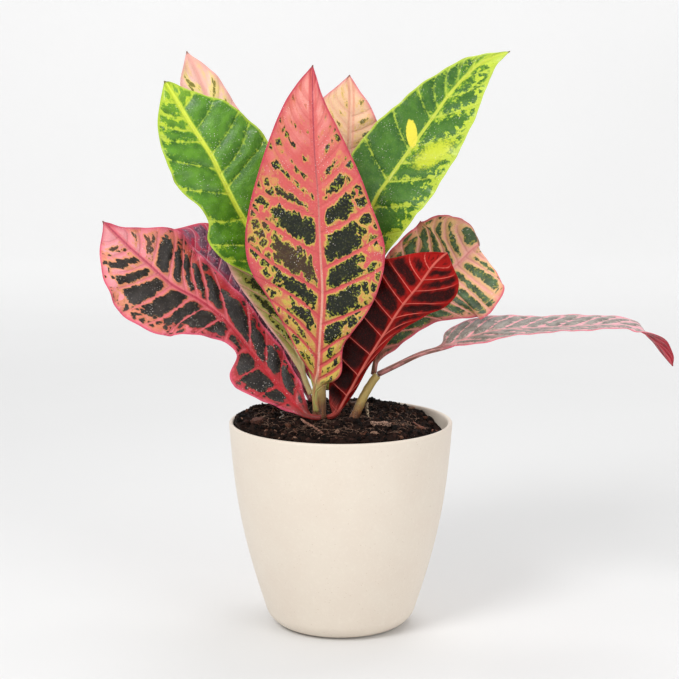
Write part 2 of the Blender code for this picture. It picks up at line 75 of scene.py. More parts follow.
LEAVES = (
    Leaf("leaf_front_pink", "coral", 0.7, (8, 8),
         ((-0.1, -1, 0.1), (0, -1, 0.05), (0.05, -1, 0.25)),
         ((-13.6, -5.6, 122.5, 0, 0), (-14.5, -7.5, 131, 0, 0), (-13.7, -9, 139.5, 2, 6),
          (-12.5, -10.5, 147, 6, 13), (-11.5, -15, 164, 16, 14), (-10, -21, 190, 30, 29),
          (-11, -26, 215, 40, 35), (-12, -28, 242, 37, 27), (-14, -26, 268, 27, 18),
          (-15, -20, 295, 14, 6), (-15, -12, 313, 0, 0)),
         ((12, 26, 0.75), (29, 53, 0.5), (39, 68, 0.7), (55, 85), (70, 102, 0.48), (92, 122),
          (113, 132, 0.6), (118, 149, 0.74), (126, 158, 0.72), (135, 165, 0.7), (145, 172, 0.68),
          (154, 180, 0.62), (164, 187, 0.45), (174, 191, 0)),
         ((9, 18, 0.9), (18, 31), (27, 38), (35, 49), (51.5, 66), (70, 85), (84, 103),
          (104, 119, 0.95), (118, 134, 0.8), (129, 145, 0.64), (138.5, 154, 0.6), (148, 164, 0.5),
          (158, 174, 0.32), (169, 182, 0))),
    Leaf("leaf_upper_left_green", "green", 1.2, (10, 14),
         ((0, -1, 0.3), (0.2, -1, 0.4), (0.1, -1, 0.5)),
         ((-14.1, -2.5, 136, 0, 0), (-16.5, -3.5, 145, 0, 0), (-21, -3.5, 160, 2, 4),
          (-35, -4, 193, 4, 14), (-46, -5, 216, 21, 20), (-53, -5, 229, 24, 24),
          (-57, -4.5, 236, 19, 27), (-61, -4, 244, 20, 29), (-66, -2, 254, 25, 31),
          (-71, 0, 264, 26, 30), (-83, 5, 282, 20, 22), (-91, 9, 295, 10, 9),
          (-97, 12, 304, 0, 0)),
         ((40, 52), (58, 74), (72, 88, 0.9), (85.5, 99), (102, 110), (117, 130), (132, 152),
          (150, 163, 0.8), (157, 170, 0.6), (165.5, 176, 0.6), (175, 183, 0.4)),
         ((40, 52), (60, 76), (80, 97), (100, 118), (121, 137), (129, 146), (141, 153),
          (157, 168), (171, 177, 0.5))),
    Leaf("leaf_upper_right_green", "lime", 0.9, (18, 18),
         ((0, -1, 0.3), (-0.2, -1, 0.45), (-0.1, -1, 0.6)),
         ((-7.4, -1.2, 139, 0, 0), (-5, -1.5, 149, 0, 0), (-3, 0, 164, 4, 4),
          (6, 1, 202, 12, 13.5), (18, 3, 237, 19, 27), (27, 7, 251, 25, 30), (38, 12, 266, 24, 29),
          (50, 18, 282, 20, 26), (62, 24, 298, 14, 21), (78, 31, 313, 6, 11), (95, 36, 320, 0, 0)),
         ((40, 54), (60, 76), (80, 94), (98, 112), (117, 130), (138, 152), (160, 171), (167, 182),
          (175, 191), (185, 200, 0.9), (197, 208, 0.6)),
         ((40, 52), (60, 74), (80, 94), (99.5, 113), (116.5, 134, 0.9), (129, 147, 0.65),
          (141, 163, 0.9), (161, 183, 0.9), (175, 199, 0.8), (191, 212, 0.7))),
    Leaf("leaf_back_left_pale", "olive", 0.8, (10, 10),
         ((0, -1, 0.3), (0.2, -1, 0.3), (0.2, -1, 0.5)),
         ((-16.8, 0.5, 131, 0, 0), (-20.5, 0.5, 141, 1, 1), (-25, 2, 157, 6, 5),
          (-32, 6, 180, 15, 11), (-42, 12, 206, 22, 16), (-54, 20, 235, 23, 19),
          (-65, 28, 265, 18, 18), (-75, 36, 293, 15, 12.5), (-81, 40, 307, 11, 8),
          (-87, 42, 320, 0, 0)),
         even_veins(22, 190, 13, 24, 0.85)[:10] + ((158, 180, 0.25), (172, 192, 0.3)),
         even_veins(28, 192, 13, 22, 0.85)[:8] + ((136, 158, 0.4), (150, 172, 0.2),
          (166, 186, 0.35))),
    Leaf("leaf_back_right_pale", "peach", 0.6, (8, 8),
         ((0, -1, 0.3), (0, -1, 0.3), (0, -1, 0.45)),
         ((-7.7, 6.6, 146, 0, 0), (-7, 8.5, 158, 0, 0), (-5, 9.5, 175, 5, 7),
          (-2, 12, 197, 15, 17), (2, 18, 232, 23, 23), (5, 25, 265, 25, 20),
          (6, 29, 287.5, 20, 12), (6, 31, 297.5, 13, 5), (5, 32, 307, 0, 0)),
         even_veins(26, 122, 13, 22, 0.9) + ((126, 152, 0.75), (133, 158, 0.6), (141, 161, 0.2)),
         even_veins(26, 106, 13, 14, 0.9) + ((112, 120, 0.75), (122, 130, 0.65), (131, 138, 0.4),
          (140, 145, 0.15))),
    Leaf("leaf_left_red", "red", 1.4, (8, 10),
         ((0.2, -1, 0.5), (0.2, -1, 0.6), (0.1, -1, 0.6)),
         ((-11, -6.2, 118.8, 0, 0), (-18, -5, 119.8, 2, 2), (-25, -2, 125.3, 6, 7),
          (-32.3, 2, 133, 13, 11), (-39.6, 4, 140.6, 18, 14), (-44, 5.5, 146, 21, 15),
          (-48.6, 6.5, 151.5, 19, 15), (-52.5, 7, 156.6, 9, 15), (-58.6, 7.5, 164.4, 9, 16),
          (-67.5, 8, 174, 17, 17), (-80, 9, 183.4, 27, 20), (-94, 9, 191.3, 33, 24),
          (-107, 7, 203.4, 33, 25), (-117, 4.5, 213, 26, 15), (-124.5, 2, 221, 14, 5),
          (-131, 0, 228, 0, 0)),
         ((20, 22), (32, 35), (46.5, 50), (59.5, 60, 0.9), (74, 70), (81, 87), (91, 105),
          (101, 116), (114, 126), (124, 143), (132.5, 151, 0.7), (145, 157, 0.45), (154, 161, 0)),
         ((18, 28), (30, 46), (43, 62), (57, 79), (77, 102), (91, 110), (98, 119), (105, 129),
          (117, 134), (130, 142, 0.35), (139, 152, 0.45), (148, 157, 0))),
    Leaf("leaf_left_behind", "mauve", 1.0, (8, 8),
         ((0.3, -1, 0.4), (0.3, -1, 0.6), (0.2, -1, 0.7)),
         ((-16.6, 3.3, 127, 0, 0), (-20, 8, 132, 0, 0), (-27, 13, 140, 6, 5),
          (-41, 20, 160, 16, 13), (-57, 26, 181, 23, 19), (-73, 30, 199, 22, 23),
          (-87, 33, 211, 15, 18), (-98, 35, 219, 0, 0)),
         even_veins(16, 118, 9, 12), even_veins(20, 118, 9, 16)),
    Leaf("leaf_right_crimson", "crimson", 0.8, (12, 12),
         ((0.2, 1, 0.3), (0.2, 1, 0.4), (0.1, 1, 0.5)),
         ((-7.3, -4.5, 118.8, 0, 0), (-3, -5.5, 120.5, 1, 3), (1, -5, 127, 2, 9),
          (6, -6, 136, 3, 14), (14, -9, 151, 3, 20), (24, -13, 168, 6, 25), (33, -17, 183, 14, 27),
          (42, -21, 195, 22, 24), (50, -25, 207, 17, 10), (57, -29, 214, 0, 0)),
         ((18, 30), (30, 52), (43, 68), (57, 77), (70, 84), (80, 94), (90, 106), (98, 112, 0.85),
          (107, 116, 0.4)),
         ((7, 9), (17.5, 20), (31, 36), (45, 48), (57.5, 65), (69, 78), (80, 88), (88, 96.5),
          (97, 105.5, 0.8), (105, 111, 0.3))),
    Leaf("leaf_right_striped", "striped", 1.0, (8, 8),
         ((-0.3, -1, 0.4), (-0.3, -1, 0.5), (-0.2, -1, 0.5)),
         ((18.4, 4.5, 141.5, 0, 0), (20, 8, 149, 2, 2), (25, 12, 159, 14, 9),
          (39, 18, 177, 28, 17), (54.5, 22, 192, 32, 33), (61, 23, 197.2, 33, 37.5),
          (67.5, 24, 202.4, 33.5, 35.5), (72, 25, 207, 30.5, 28.5), (74.9, 25.7, 209.6, 27, 20.5),
          (76.6, 26.1, 210.9, 22.5, 10.5), (77.5, 26.3, 211.4, 16.5, 4), (78.2, 26.4, 211.6, 7, 1),
          (78.6, 26.5, 211.6, 0, 0)),
         ((14, 26), (26, 42), (38, 58), (48, 68), (58, 77), (65, 86), (74, 92), (81, 95.5),
          (89, 97.5, 0.9)),
         ((14, 24), (26, 38), (38, 51), (50, 61), (58, 67), (66, 72.5), (74, 77.5), (80, 83),
          (86.5, 90, 0.9), (92, 95, 0.3))),
    Leaf("leaf_far_right_arched", "ashen", 0.35, (6, 6),
         ((0, -0.4, 1), (0, -0.28, 1), (0, -0.05, 1), (0, -0.05, 1), (0.5, 0.6, 1)),
         ((21.2, 0.5, 142.4, 0, 0), (33, -6, 149.5, 0, 0), (44, -10, 155.5, 0, 0),
          (55, -12, 159, 4, 2), (62, -12, 161.5, 17, 5), (73, -12, 165.7, 21, 17),
          (87, -12, 169, 24, 24), (104, -12, 170, 23, 24), (125, -12, 171, 22, 22),
          (145, -13, 172, 19, 20), (157, -13, 171.5, 15, 17), (166, -14, 168.3, 13, 14),
          (173, -14, 163, 10, 11), (179, -14, 156, 6, 6), (182.5, -14, 149.5, 0, 0)),
         even_veins(36, 182, 10, 20), even_veins(41, 182, 10, 20)),
    Leaf("leaf_back_low", "red", 1.2, (12, 12),
         ((0, 0.4, 1), (0, -0.2, 1), (0, -0.6, 1)),
         ((-12.7, 5.5, 124, 0, 0), (-14, 14, 132, 0, 0), (-16, 24, 141, 6, 6),
          (-21, 42, 156, 17, 17), (-26, 64, 169, 22, 22), (-31, 86, 177, 18, 18),
          (-35, 103, 178, 10, 10), (-38, 117, 174, 0, 0)),
         even_veins(24, 134, 12, 16), even_veins(18, 130, 12, 16)),
    Leaf("leaf_back_high", "lime", 1.0, (12, 12),
         ((0, -1, 0.6), (0, -1, 0.9), (0, -1, 1.2)),
         ((-8.2, 4.8, 133, 0, 0), (-5, 11, 143, 0, 0), (-2, 18, 156, 6, 6), (0, 30, 178, 16, 16),
          (2, 43, 203, 22, 22), (3, 55, 228, 20, 20), (4, 65, 248, 12, 12), (5, 74, 263, 0, 0)),
         even_veins(24, 146, 12, 14), even_veins(18, 142, 12, 14)),
    Leaf("young_leaf", "green", 0.2, (55, 55),
         ((0, -1, 0.2), (0, -1, 0.2)),
         ((-9.5, 4.2, 153.6, 0, 0), (-9, 4.5, 163, 1, 1), (-8.5, 5, 176, 4, 4),
          (-8, 6, 192, 5, 5), (-7.5, 7, 206, 3, 3), (-7, 8, 216, 0, 0)),
         even_veins(12, 60, 6, 6), even_veins(9, 60, 6, 6)),
)

# Colours are written as red, green and blue in hexadecimal, as on a paint chart.
# ground: from foot to tip in four steps. vein, halo, rib: foot and tip.
# dark: a full cell's two tones. faded: a half-empty cell. fleck: dots along a cell's rim.
# back: the underside's ground at foot and tip, its cells and its veins.
# bands: clear widths beside the midrib, beside each vein and along the two margins.
# lines: half widths of the midrib's and the veins' own colours. ragged: how uneven cells are.
# blur: how softly a cell ends. halo_width: width of the paler seam round it.
# chain: share of the half taken by small cells along the margin, their size, and how thickly
# they are sown there. lace: how much ground shows through the cells near the two margins.
# gloss: weight of the clear wax over the blade.
# the deeper red in from the right margin: how far it reaches in, and its colour; partly the leaf's
# own red, partly painted shade on the folded half that turns from the light.
Look = namedtuple("Look", "ground vein halo dark faded fleck margin rib stalk back bands lines"
                          " ragged blur halo_width chain lace gloss blush",
                  defaults=((0.0, 1.0, 0.0), (0.0, 0.0), 0.16, None))

LOOKS = {
    "coral": Look(
        ("d0b250", "d25a5c", "d05c58", "ee9a8e"), ("cf4a4e", "d8625f"), ("ccb24e", "d4745a"),
        ("090d05", "1a2010"), "5e3e2a", "a8ac38", "c03c50", ("eeb09a", "a43a4c"), "b3b068",
        ("8e2f33", "b85a50", "5a2326", "d98a80"), (2.5, 1.65, 1.3, 1.3), (0.6, 1.4), 1.25, 0.45,
        0.15, chain=(0.36, 6.5, 0.72)),
    "green": Look(
        ("94b42a", "aec630", "b8ce32", "c4da36"), ("b4cc3a", "c2d644"), ("4f8818", "5c961e"),
        ("386a14", "629925"), "8cb42c", "94b82c", "b0ca3a", ("cde03a", "dae848"), "a4ab50",
        ("7f9a4a", "8fa850", "6f8c40", "b9c46a"), (1.7, 0.16, 0.2, 0.2), (1.5, 0.75), 0.4, 0.9,
        0.35, lace=(0.34, 0.1), gloss=0.26),
    "lime": Look(
        ("9cb62c", "b6ca36", "bed238", "c6da3a"), ("b4ca3e", "c6da4e"), ("4e8620", "629828"),
        ("2f601a", "4e7e28"), "9cbc34", "a8c434", "c0d64a", ("c6d242", "cdda4a"), "a4ab50",
        ("8aa24e", "9ab058", "76904a", "c0c870"), (1.2, 0.18, 0.3, 2.0), (1.1, 0.85), 0.55, 1.5,
        0.4, lace=(0.14, 0.85), gloss=0.26),
    "olive": Look(
        ("a8965a", "dcb884", "f4c8b4", "fbcdc4"), ("c8906c", "f4b4a4"), ("a0a04a", "f4dc86"),
        ("1c240c", "42441c"), "8c8438", "b4a648", "e8a8a0", ("d4c890", "f0b0a4"), "c0b27c",
        ("b8916e", "d8a890", "6a5a40", "d8b090"), (1.4, 0.9, 1.3, 1.3), (1.0, 0.5), 0.9, 0.6, 3.4,
        chain=(0.22, 5.0, 0.5), lace=(0.2, 0.2)),
    "peach": Look(
        ("cc9a70", "f0c098", "f5c8a0", "f8cfa6"), ("d88c7c", "f0ac90"), ("caa860", "eec47c"),
        ("2c3016", "55552a"), "908244", "ccb052", "e48488", ("eebc98", "f6c8a8"), "c0b27c",
        ("d09a80", "e8b898", "9a7458", "e8bca0"), (2.2, 1.3, 2.6, 2.6), (1.0, 0.6), 1.2, 0.6, 1.3,
        lace=(0.35, 0.35)),
    # Red look: the grey in its dark cells is partly painted sheen.
    "red": Look(
        ("a01820", "e0545e", "f8949c", "fcaab0"), ("b8282e", "ec7a82"), ("ac3032", "eea070"),
        ("1a1716", "3c3633"), "644434", "5c5038", "dc5a74", ("c02832", "c04860"), "74302a",
        ("8a1a1c", "a82a2c", "3c0c0a", "d0605a"), (1.8, 1.0, 2.0, 2.0), (0.9, 0.9), 0.7, 0.5, 0.7,
        chain=(0.26, 5.0, 0.6), gloss=0.18, blush=(26.0, "b21c20")),
    # Mauve look: the mauve of its cells and its pale flecks are partly painted sheen on a blade
    # seen at a grazing angle.
    "mauve": Look(
        ("8a2c3c", "b83c58", "c43450", "c83a56"), ("e08ca0", "f4bccc"), ("80405a", "a05a74"),
        ("4c2e40", "7c5a70"), "946078", "b490a2", "d44a64", ("b84858", "e0849c"), "74302a",
        ("8a2a36", "a83a48", "4a1a22", "c86a74"), (1.2, 0.6, 2.4, 2.4), (0.8, 0.35), 0.9, 0.8,
        0.6),
    "crimson": Look(
        ("8c1110", "a81c1a", "b82822", "c8342c"), ("d05a50", "e07c70"), ("741210", "a82622"),
        ("1c0504", "3a0b08"), "5c1814", "7a3428", "c02430", ("c83c38", "d8605a"), "6e241e",
        ("760605", "a8140f", "180302", "de7062"), (1.4, 0.8, 1.1, 1.1), (0.6, 0.25), 0.6, 0.8, 0.5,
        gloss=0.06),
    "striped": Look(
        ("d08478", "fcae9c", "fcb4a2", "fcb8a4"), ("ee8e84", "fcb0a6"), ("b8705a", "f0c084"),
        ("34442e", "648058"), "7a5c3a", "b0aa4c", "dc5c70", ("b45e58", "f2968e"), "74503a",
        ("9a3a3a", "b04a48", "5a2422", "d88078"), (1.7, 1.1, 1.0, 1.0), (0.9, 0.6), 0.55, 0.5, 0.8,
        chain=(0.14, 4.5, 0.62)),
    # Ashen look: its pale ground and grey cells are partly painted sheen on a blade seen nearly
    # edge on.
    "ashen": Look(
        ("cc9c96", "f2bac2", "f4b4be", "f6b0bc"), ("ee9c9c", "fca8b6"), ("b0968e", "deb8b8"),
        ("5c5850", "a4988f"), "8c7068", "b4aea0", "e45c74", ("c88c88", "eca4b0"), "79564a",
        ("9c1424", "b01c30", "4a0c14", "d05c64"), (0.8, 0.5, 1.6, 1.2), (0.9, 0.9), 1.1, 1.0, 0.6,
        lace=(0.2, 0.2)),
}

# Pale patches: leaf, centre across and along, half sizes, turn in degrees, colour, softness.
PATCHES = (
    ("leaf_upper_right_green", (15.0, 142.0), (6.5, 11.5), -28, "ccd836", 0.7),
    ("leaf_upper_right_green", (-4.3, 146.6), (3.1, 8.0), 40, "f2e54a", 0.15),
)

# ---- settings

def colour_setting(name, description, default):
    return FloatVectorProperty(name=name, description=description, subtype="COLOR",
                               default=default, min=0, max=1)


def length_setting(name, description, default, least):
    return FloatProperty(name=name, description=description, subtype="DISTANCE", unit="LENGTH",
                         default=default * MM, min=least * MM)


def power_setting(name, description, default):
    return FloatProperty(name=name, description=description + ", in watts", default=default,
                         min=0)


class PotSettings(bpy.types.PropertyGroup):
    colour: colour_setting("Pot colour", "Colour of the pressed plant fibre", (0.78, 0.695, 0.59))
    fleck_colour: colour_setting("Fleck colour", "Colour of the husk flecks in the fibre",
                                 (0.50, 0.36, 0.24))
    sides: IntProperty(name="Sides", description="Number of steps round the pot", default=192,
                       min=24)


class SoilSettings(bpy.types.PropertyGroup):
    colour: colour_setting("Soil colour", "Colour of the damp peat", (0.017, 0.009, 0.0065))
    crumb_spacing: length_setting("Crumb spacing", "Least distance between two crumbs", 1.5, 0.5)
    crumb_size: length_setting("Crumb size", "Radius of the largest small crumbs", 1.05, 0.2)
    fibres: IntProperty(name="Fibres", description="Number of loose fibres on the soil",
                        default=230, min=0)


class StemSettings(bpy.types.PropertyGroup):
    green: colour_setting("Young stem", "Colour of the green part of the stems",
                          (0.46, 0.34, 0.11))
    bark: colour_setting("Bark", "Colour of the brown foot of the stems", (0.13, 0.055, 0.03))


class LeafSettings(bpy.types.PropertyGroup):
    spacing: length_setting("Mesh spacing", "Distance between two rows of a leaf's mesh", 1.3, 0.3)
    thickness: length_setting("Blade thickness", "Thickness of the blade beside the midrib",
                              0.7, 0.2)
    roughness: FloatProperty(name="Roughness", description="Roughness of the waxy surface",
                             default=0.36, min=0, max=1)


class StageSettings(bpy.types.PropertyGroup):
    floor_colour: colour_setting("Floor colour", "Colour of the floor and backdrop",
                                 (0.8, 0.8, 0.8))
    key_power: power_setting("Key light", "Power of the main soft light", 11.0)
    fill_power: power_setting("Fill light", "Power of the second soft light", 5.0)
    top_power: power_setting("Top light", "Power of the soft light above and behind", 4.0)


# ---- node helpers

def paint(colour):
    """A linear colour with alpha from its paint chart code; any other colour stays as it is."""
    if not isinstance(colour, str):
        return colour
    parts = [int(colour[i:i + 2], 16) / 255 for i in (0, 2, 4)]
    return (*[c / 12.92 if c <= 0.04045 else ((c + 0.055) / 1.055) ** 2.4 for c in parts], 1.0)


def set_stops(elements, stops):
    """Give a colour ramp its (place, colour) stops."""
    while len(elements) < len(stops):
        elements.new(1.0)
    for element, (place, colour) in zip(elements, stops):
        element.position = place
        element.color = paint(colour)


def by_node(operation):
    """A method of Value that adds one Math node."""
    def method(self, *others):
        return self.math(operation, *others)
    return method


class Value:
    """A node's output in Python arithmetic; value[name] is another output of its node."""

    def __init__(self, tree, node, name=0):
        self.tree, self.node = tree, node
        self.socket = node.outputs[name] if node.outputs else None

    def __getitem__(self, name):
        return Value(self.tree, self.node, name)

    def math(self, operation, *others):
        return self.tree.node("ShaderNodeMath", dict(enumerate((self, *others))),
                              operation=operation)

    __add__ = __radd__ = by_node("ADD")
    __sub__ = by_node("SUBTRACT")
    __mul__ = __rmul__ = by_node("MULTIPLY")
    __truediv__ = by_node("DIVIDE")
    __abs__ = by_node("ABSOLUTE")
    lesser = by_node("SMOOTH_MIN")

    def __rsub__(self, other):
        return self.tree.node("ShaderNodeMath", {0: other, 1: self}, operation="SUBTRACT")

    def step(self, low, high, start=0.0, end=1.0):
        """A smooth step from start to end as the value goes from low to high."""
        return self.tree.node("ShaderNodeMapRange",
                              {"Value": self, "From Min": low, "From Max": high,
                               "To Min": start, "To Max": end}, interpolation_type="SMOOTHSTEP")

    def fade(self, low, high, start=1.0):
        """A smooth step from start down to nothing."""
        return self.step(low, high, start, 0.0)


class Tree:
    """A node tree that is written as expressions."""

    def __init__(self, tree, material=None):
        self.tree, self.material = tree, material

    def feed(self, socket, value):
        """Link a value to a socket, or set a number or a colour on it."""
        if isinstance(value, Value):
            self.tree.links.new(value.socket, socket)
        else:
            socket.default_value = paint(value) if socket.type == "RGBA" else value

    def node(self, kind, sockets=None, stops=(), **settings):
        """Add a node: its settings and stops first, then the values or links of its sockets."""
        node = self.tree.nodes.new(kind)
        for name, setting in settings.items():
            setattr(node, name, setting)
        if stops:
            set_stops(node.color_ramp.elements, stops)
        for name, value in (sockets or {}).items():
            self.feed(node.inputs[name], value)
        return Value(self, node)

    def mix(self, share, low, high):
        """A colour between two colours."""
        return self.node("ShaderNodeMix", {"Factor": share, 6: low, 7: high},
                         data_type="RGBA")[2]

    def coats(self, colour, *coats):
        """A colour under coats of (share, colour), each laid over the last."""
        for share, over in coats:
            colour = self.mix(share, colour, over)
        return colour

    def vector(self, x, y, z=0.0):
        return self.node("ShaderNodeCombineXYZ", {"X": x, "Y": y, "Z": z})

    def noise(self, vector, scale, detail=2.0, roughness=0.5):
        return self.node("ShaderNodeTexNoise", {"Vector": vector, "Scale": scale,
                                                "Detail": detail, "Roughness": roughness})

    def cells(self, vector, scale, feature="F1"):
        return self.node("ShaderNodeTexVoronoi", {"Vector": vector, "Scale": scale},
                         feature=feature)["Distance"]

    def ramp(self, share, *stops):
        """A colour from (place, colour) stops."""
        return self.node("ShaderNodeValToRGB", {"Fac": share}, stops)

    def attribute(self, name):
        return self.node("ShaderNodeAttribute", attribute_name=name)

    def parts(self, value):
        node = self.node("ShaderNodeSeparateXYZ", {0: value})
        return node[0], node[1], node[2]

    def place(self):
        """Object coordinates in millimetres."""
        return self.scaled(self.node("ShaderNodeTexCoord")["Object"], 1000.0)

    def scaled(self, vector, scale):
        return self.node("ShaderNodeVectorMath", {0: vector, "Scale": scale}, operation="SCALE")


def material_tree(name):
    """The tree of a new Principled material."""
    material = bpy.data.materials.new(name)
    material.use_nodes = True
    return Tree(material.node_tree, material)


def finish_material(tree, colour, roughness, height, depth, constants):
    """Feed the shader: a bump of some depth, in metres, and constants on its own sockets."""
    bump = tree.node("ShaderNodeBump", {"Strength": 1.0, "Distance": depth, "Height": height})
    shader = tree.tree.nodes["Principled BSDF"]
    sockets = {"Base Color": colour, "Roughness": roughness, "Normal": bump, **constants}
    for name, value in sockets.items():
        tree.feed(shader.inputs[name], value)
    return tree.material


# ---- mesh helpers

def linked(name, data):
    """A new object in the scene that holds some data."""
    holder = bpy.data.objects.new(name, data)
    bpy.context.scene.collection.objects.link(holder)
    return holder


def new_piece(name, mesh, replaced=(), slot=None):
    """Link a finished mesh as a piece that rides on the plant's one body."""
    piece = linked(name, mesh)
    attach(piece, "root")
    if replaced:
        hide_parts(*replaced)
    slot or replaced[0]


def new_mesh(name, points, faces, edges=()):
    mesh = bpy.data.meshes.new(name)
    mesh.from_pydata(points, edges, faces)
    mesh.shade_smooth()
    return mesh


def mesh_from_grid(name, rings, closed=True):
    """A skin over rows of points with equal counts, with both ends capped if it is closed."""
    rows, count = rings.shape[:2]
    index = np.arange(rows * count).reshape(rows, count)
    after = np.roll(index, -1, axis=1)
    quads = np.stack([index[:-1], after[:-1], after[1:], index[1:]], axis=-1).reshape(-1, 4)
    caps = [index[0][::-1].tolist(), index[-1].tolist()] if closed else []
    return new_mesh(name, rings.reshape(-1, 3).tolist(), quads.tolist() + caps)


def add_attribute(mesh, name, values):
    """Store a number or a vector at every vertex."""
    kind = "FLOAT" if values.ndim == 1 else "FLOAT_VECTOR"
    attribute = mesh.attributes.new(name, kind, "POINT")
    attribute.data.foreach_set("value" if kind == "FLOAT" else "vector", values.ravel())


def outward(mesh, merge=0.0):
    """Turn every face outwards, once points nearer than a distance are merged."""
    form = bmesh.new()
    form.from_mesh(mesh)
    if merge:
        bmesh.ops.remove_doubles(form, verts=form.verts, dist=merge)
    bmesh.ops.recalc_face_normals(form, faces=form.faces)
    form.to_mesh(mesh)
    form.free()
    return mesh


def grown(source, tree, **inputs):
    """The plain mesh that a geometry tree makes of an object, which is then removed."""
    modifier = source.modifiers.new("growth", "NODES")
    modifier.node_group = tree
    named = {item.name: item.identifier for item in tree.interface.items_tree
             if item.in_out == "INPUT"}
    for name, value in inputs.items():
        modifier[named[name]] = value
    view = bpy.context.evaluated_depsgraph_get()
    mesh = bpy.data.meshes.new_from_object(source.evaluated_get(view))
    source.modifiers.remove(modifier)
    bpy.data.objects.remove(source)
    return mesh


def geometry_tree(name, **inputs):
    """A geometry tree with a geometry input and output and some named inputs."""
    group = bpy.data.node_groups.new(name, "GeometryNodeTree")
    for label, kind in {"Geometry": "Geometry", **inputs}.items():
        group.interface.new_socket(name=label, in_out="INPUT", socket_type="NodeSocket" + kind)
    group.interface.new_socket(name="Geometry", in_out="OUTPUT", socket_type="NodeSocketGeometry")
    tree = Tree(group)
    return tree, tree.node("NodeGroupInput")


def end_tree(tree, geometry, material):
    """Realize what was instanced, give it its material and hand it out."""
    real = tree.node("GeometryNodeRealizeInstances", {"Geometry": geometry})
    painted = tree.node("GeometryNodeSetMaterial", {"Geometry": real, "Material": material})
    tree.node("NodeGroupOutput", {0: painted})
    return tree.tree


# ---- leaves

CURVE_STEPS = 24
COLUMNS = 24
LEAST_ROWS = 8
STALK_RADIUS = 1.6
TIP_RADIUS = 0.35
BLADE_ONSET = 3
FOLD_ROUNDING = 0.05
QUILT_HEIGHT = 0.55
RIPPLE_LENGTH = 27.0
SECOND_RIPPLE = 0.43
RIB_ABOVE = 0.12
RIB_BELOW = 0.85
# How far before the first vein and past the last one the cells at the ends reach.
FOOT_REACH = (14, 18)
TIP_REACH = (14, 14)
# How softly a cell's corners turn at the midrib and at the margin, and how far it swells.
RIB_CORNER = 7.0
MARGIN_CORNER = 6.0
CELL_SWELL = 0.4
# Depths in millimetres that the noises cut into a cell's edge.
COMB_DEPTH = 3.6
LUMP_DEPTH = 4.8
SHRED_DEPTH = 24.0
LACE_DEPTH = 50.0
GROUND_STOPS = (0.1, 0.4, 0.7, 0.94)
DRY_TIP = "6a4c3c"
# Pale specks on the top side: partly dust, partly painted glints of light on the wax.
DUST_AND_GLINT = "f4eae2"


def smooth_rows(rows, steps):
    """A Catmull-Rom curve through rows of numbers, with some steps between each two."""
    known = np.array(rows, dtype=float)
    ends = np.vstack([2 * known[0] - known[1], known, 2 * known[-1] - known[-2]])
    curve = []
    for before, start, stop, after in zip(ends, ends[1:], ends[2:], ends[3:]):
        for t in np.arange(steps) / steps:
            bend = 2 * before - 5 * start + 4 * stop - after
            twist = -before + 3 * start - 3 * stop + after
            curve.append(start + 0.5 * t * ((stop - before) + t * (bend + t * twist)))
    return np.array(curve + [known[-1]])


def unit_rows(vectors):
    return vectors / np.linalg.norm(vectors, axis=1, keepdims=True)


def cut_rows(places, measure, table):
    """Rows of a table whose measure is known, cut at other places of that measure."""
    return np.stack([np.interp(places, measure, column) for column in table.T], axis=1)


def leaf_rows(leaf, spacing):
    """Midrib places, half widths, directions and distance travelled, cut for a fine mesh."""
    rows = smooth_rows(leaf.stations, CURVE_STEPS)
    places = rows[:, :3]
    halves = np.maximum(rows[:, 3:], 0.0)
    along = unit_rows(np.gradient(places, axis=0))
    upper = np.array(leaf.upper, dtype=float)
    facing = cut_rows(np.linspace(0, len(upper) - 1, len(places)), range(len(upper)), upper)
    sideways = unit_rows(np.cross(along, facing))
    steps = np.linalg.norm(np.diff(places, axis=0), axis=1)
    travelled = np.concatenate([[0.0], np.cumsum(steps)])[:, None]
    turning = np.hypot(steps, np.abs(np.diff(halves, axis=0)).max(axis=1))
    measure = np.concatenate([[0.0], np.cumsum(turning)])
    count = max(math.ceil(measure[-1] / spacing), LEAST_ROWS)
    wanted = np.linspace(0.0, measure[-1], count)
    places, halves, sideways, along, travelled = (
        cut_rows(wanted, measure, table) for table in (places, halves, sideways, along, travelled))
    sideways = unit_rows(sideways)
    return places, halves, sideways, unit_rows(np.cross(sideways, along)), travelled[:, 0]


def vein_fields(veins, travelled, reach, width):
    """Place between the veins, clear gap and fill of the cell, on one half of the blade."""
    starts, ends, fills = np.array([(*vein, 1.0)[:3] for vein in veins], dtype=float).T
    starts = np.concatenate([[starts[0] - FOOT_REACH[0]], starts, [starts[-1] + TIP_REACH[0]]])
    ends = np.concatenate([[ends[0] - FOOT_REACH[1]], ends, [ends[-1] + TIP_REACH[1]]])
    fills = np.concatenate([[fills[0]], fills, [0.0]])
    place, gap, fill = (np.zeros(width.shape + reach.shape) for _ in range(3))
    for column, share in enumerate(reach):
        lines = np.maximum.accumulate(starts + (ends - starts) * (0.8 * share + 0.2 * share ** 2))
        lines += np.arange(len(lines)) * 0.01
        spot = np.interp(travelled, lines, np.arange(len(lines)))
        cell = np.clip(spot.astype(int), 0, len(lines) - 2)
        slant = (ends - starts)[cell] / np.maximum(width, 4.0)
        place[:, column] = spot
        gap[:, column] = np.diff(lines)[cell] / np.sqrt(1 + slant ** 2)
        fill[:, column] = fills[cell]
    return place, gap, fill


def column_shares():
    """Shares of the half width from left margin to right, crowded at midrib and margins."""
    reach = (1 - np.cos(np.linspace(0, math.pi, COLUMNS + 1))) / 2
    return np.concatenate([-reach[:0:-1], reach])


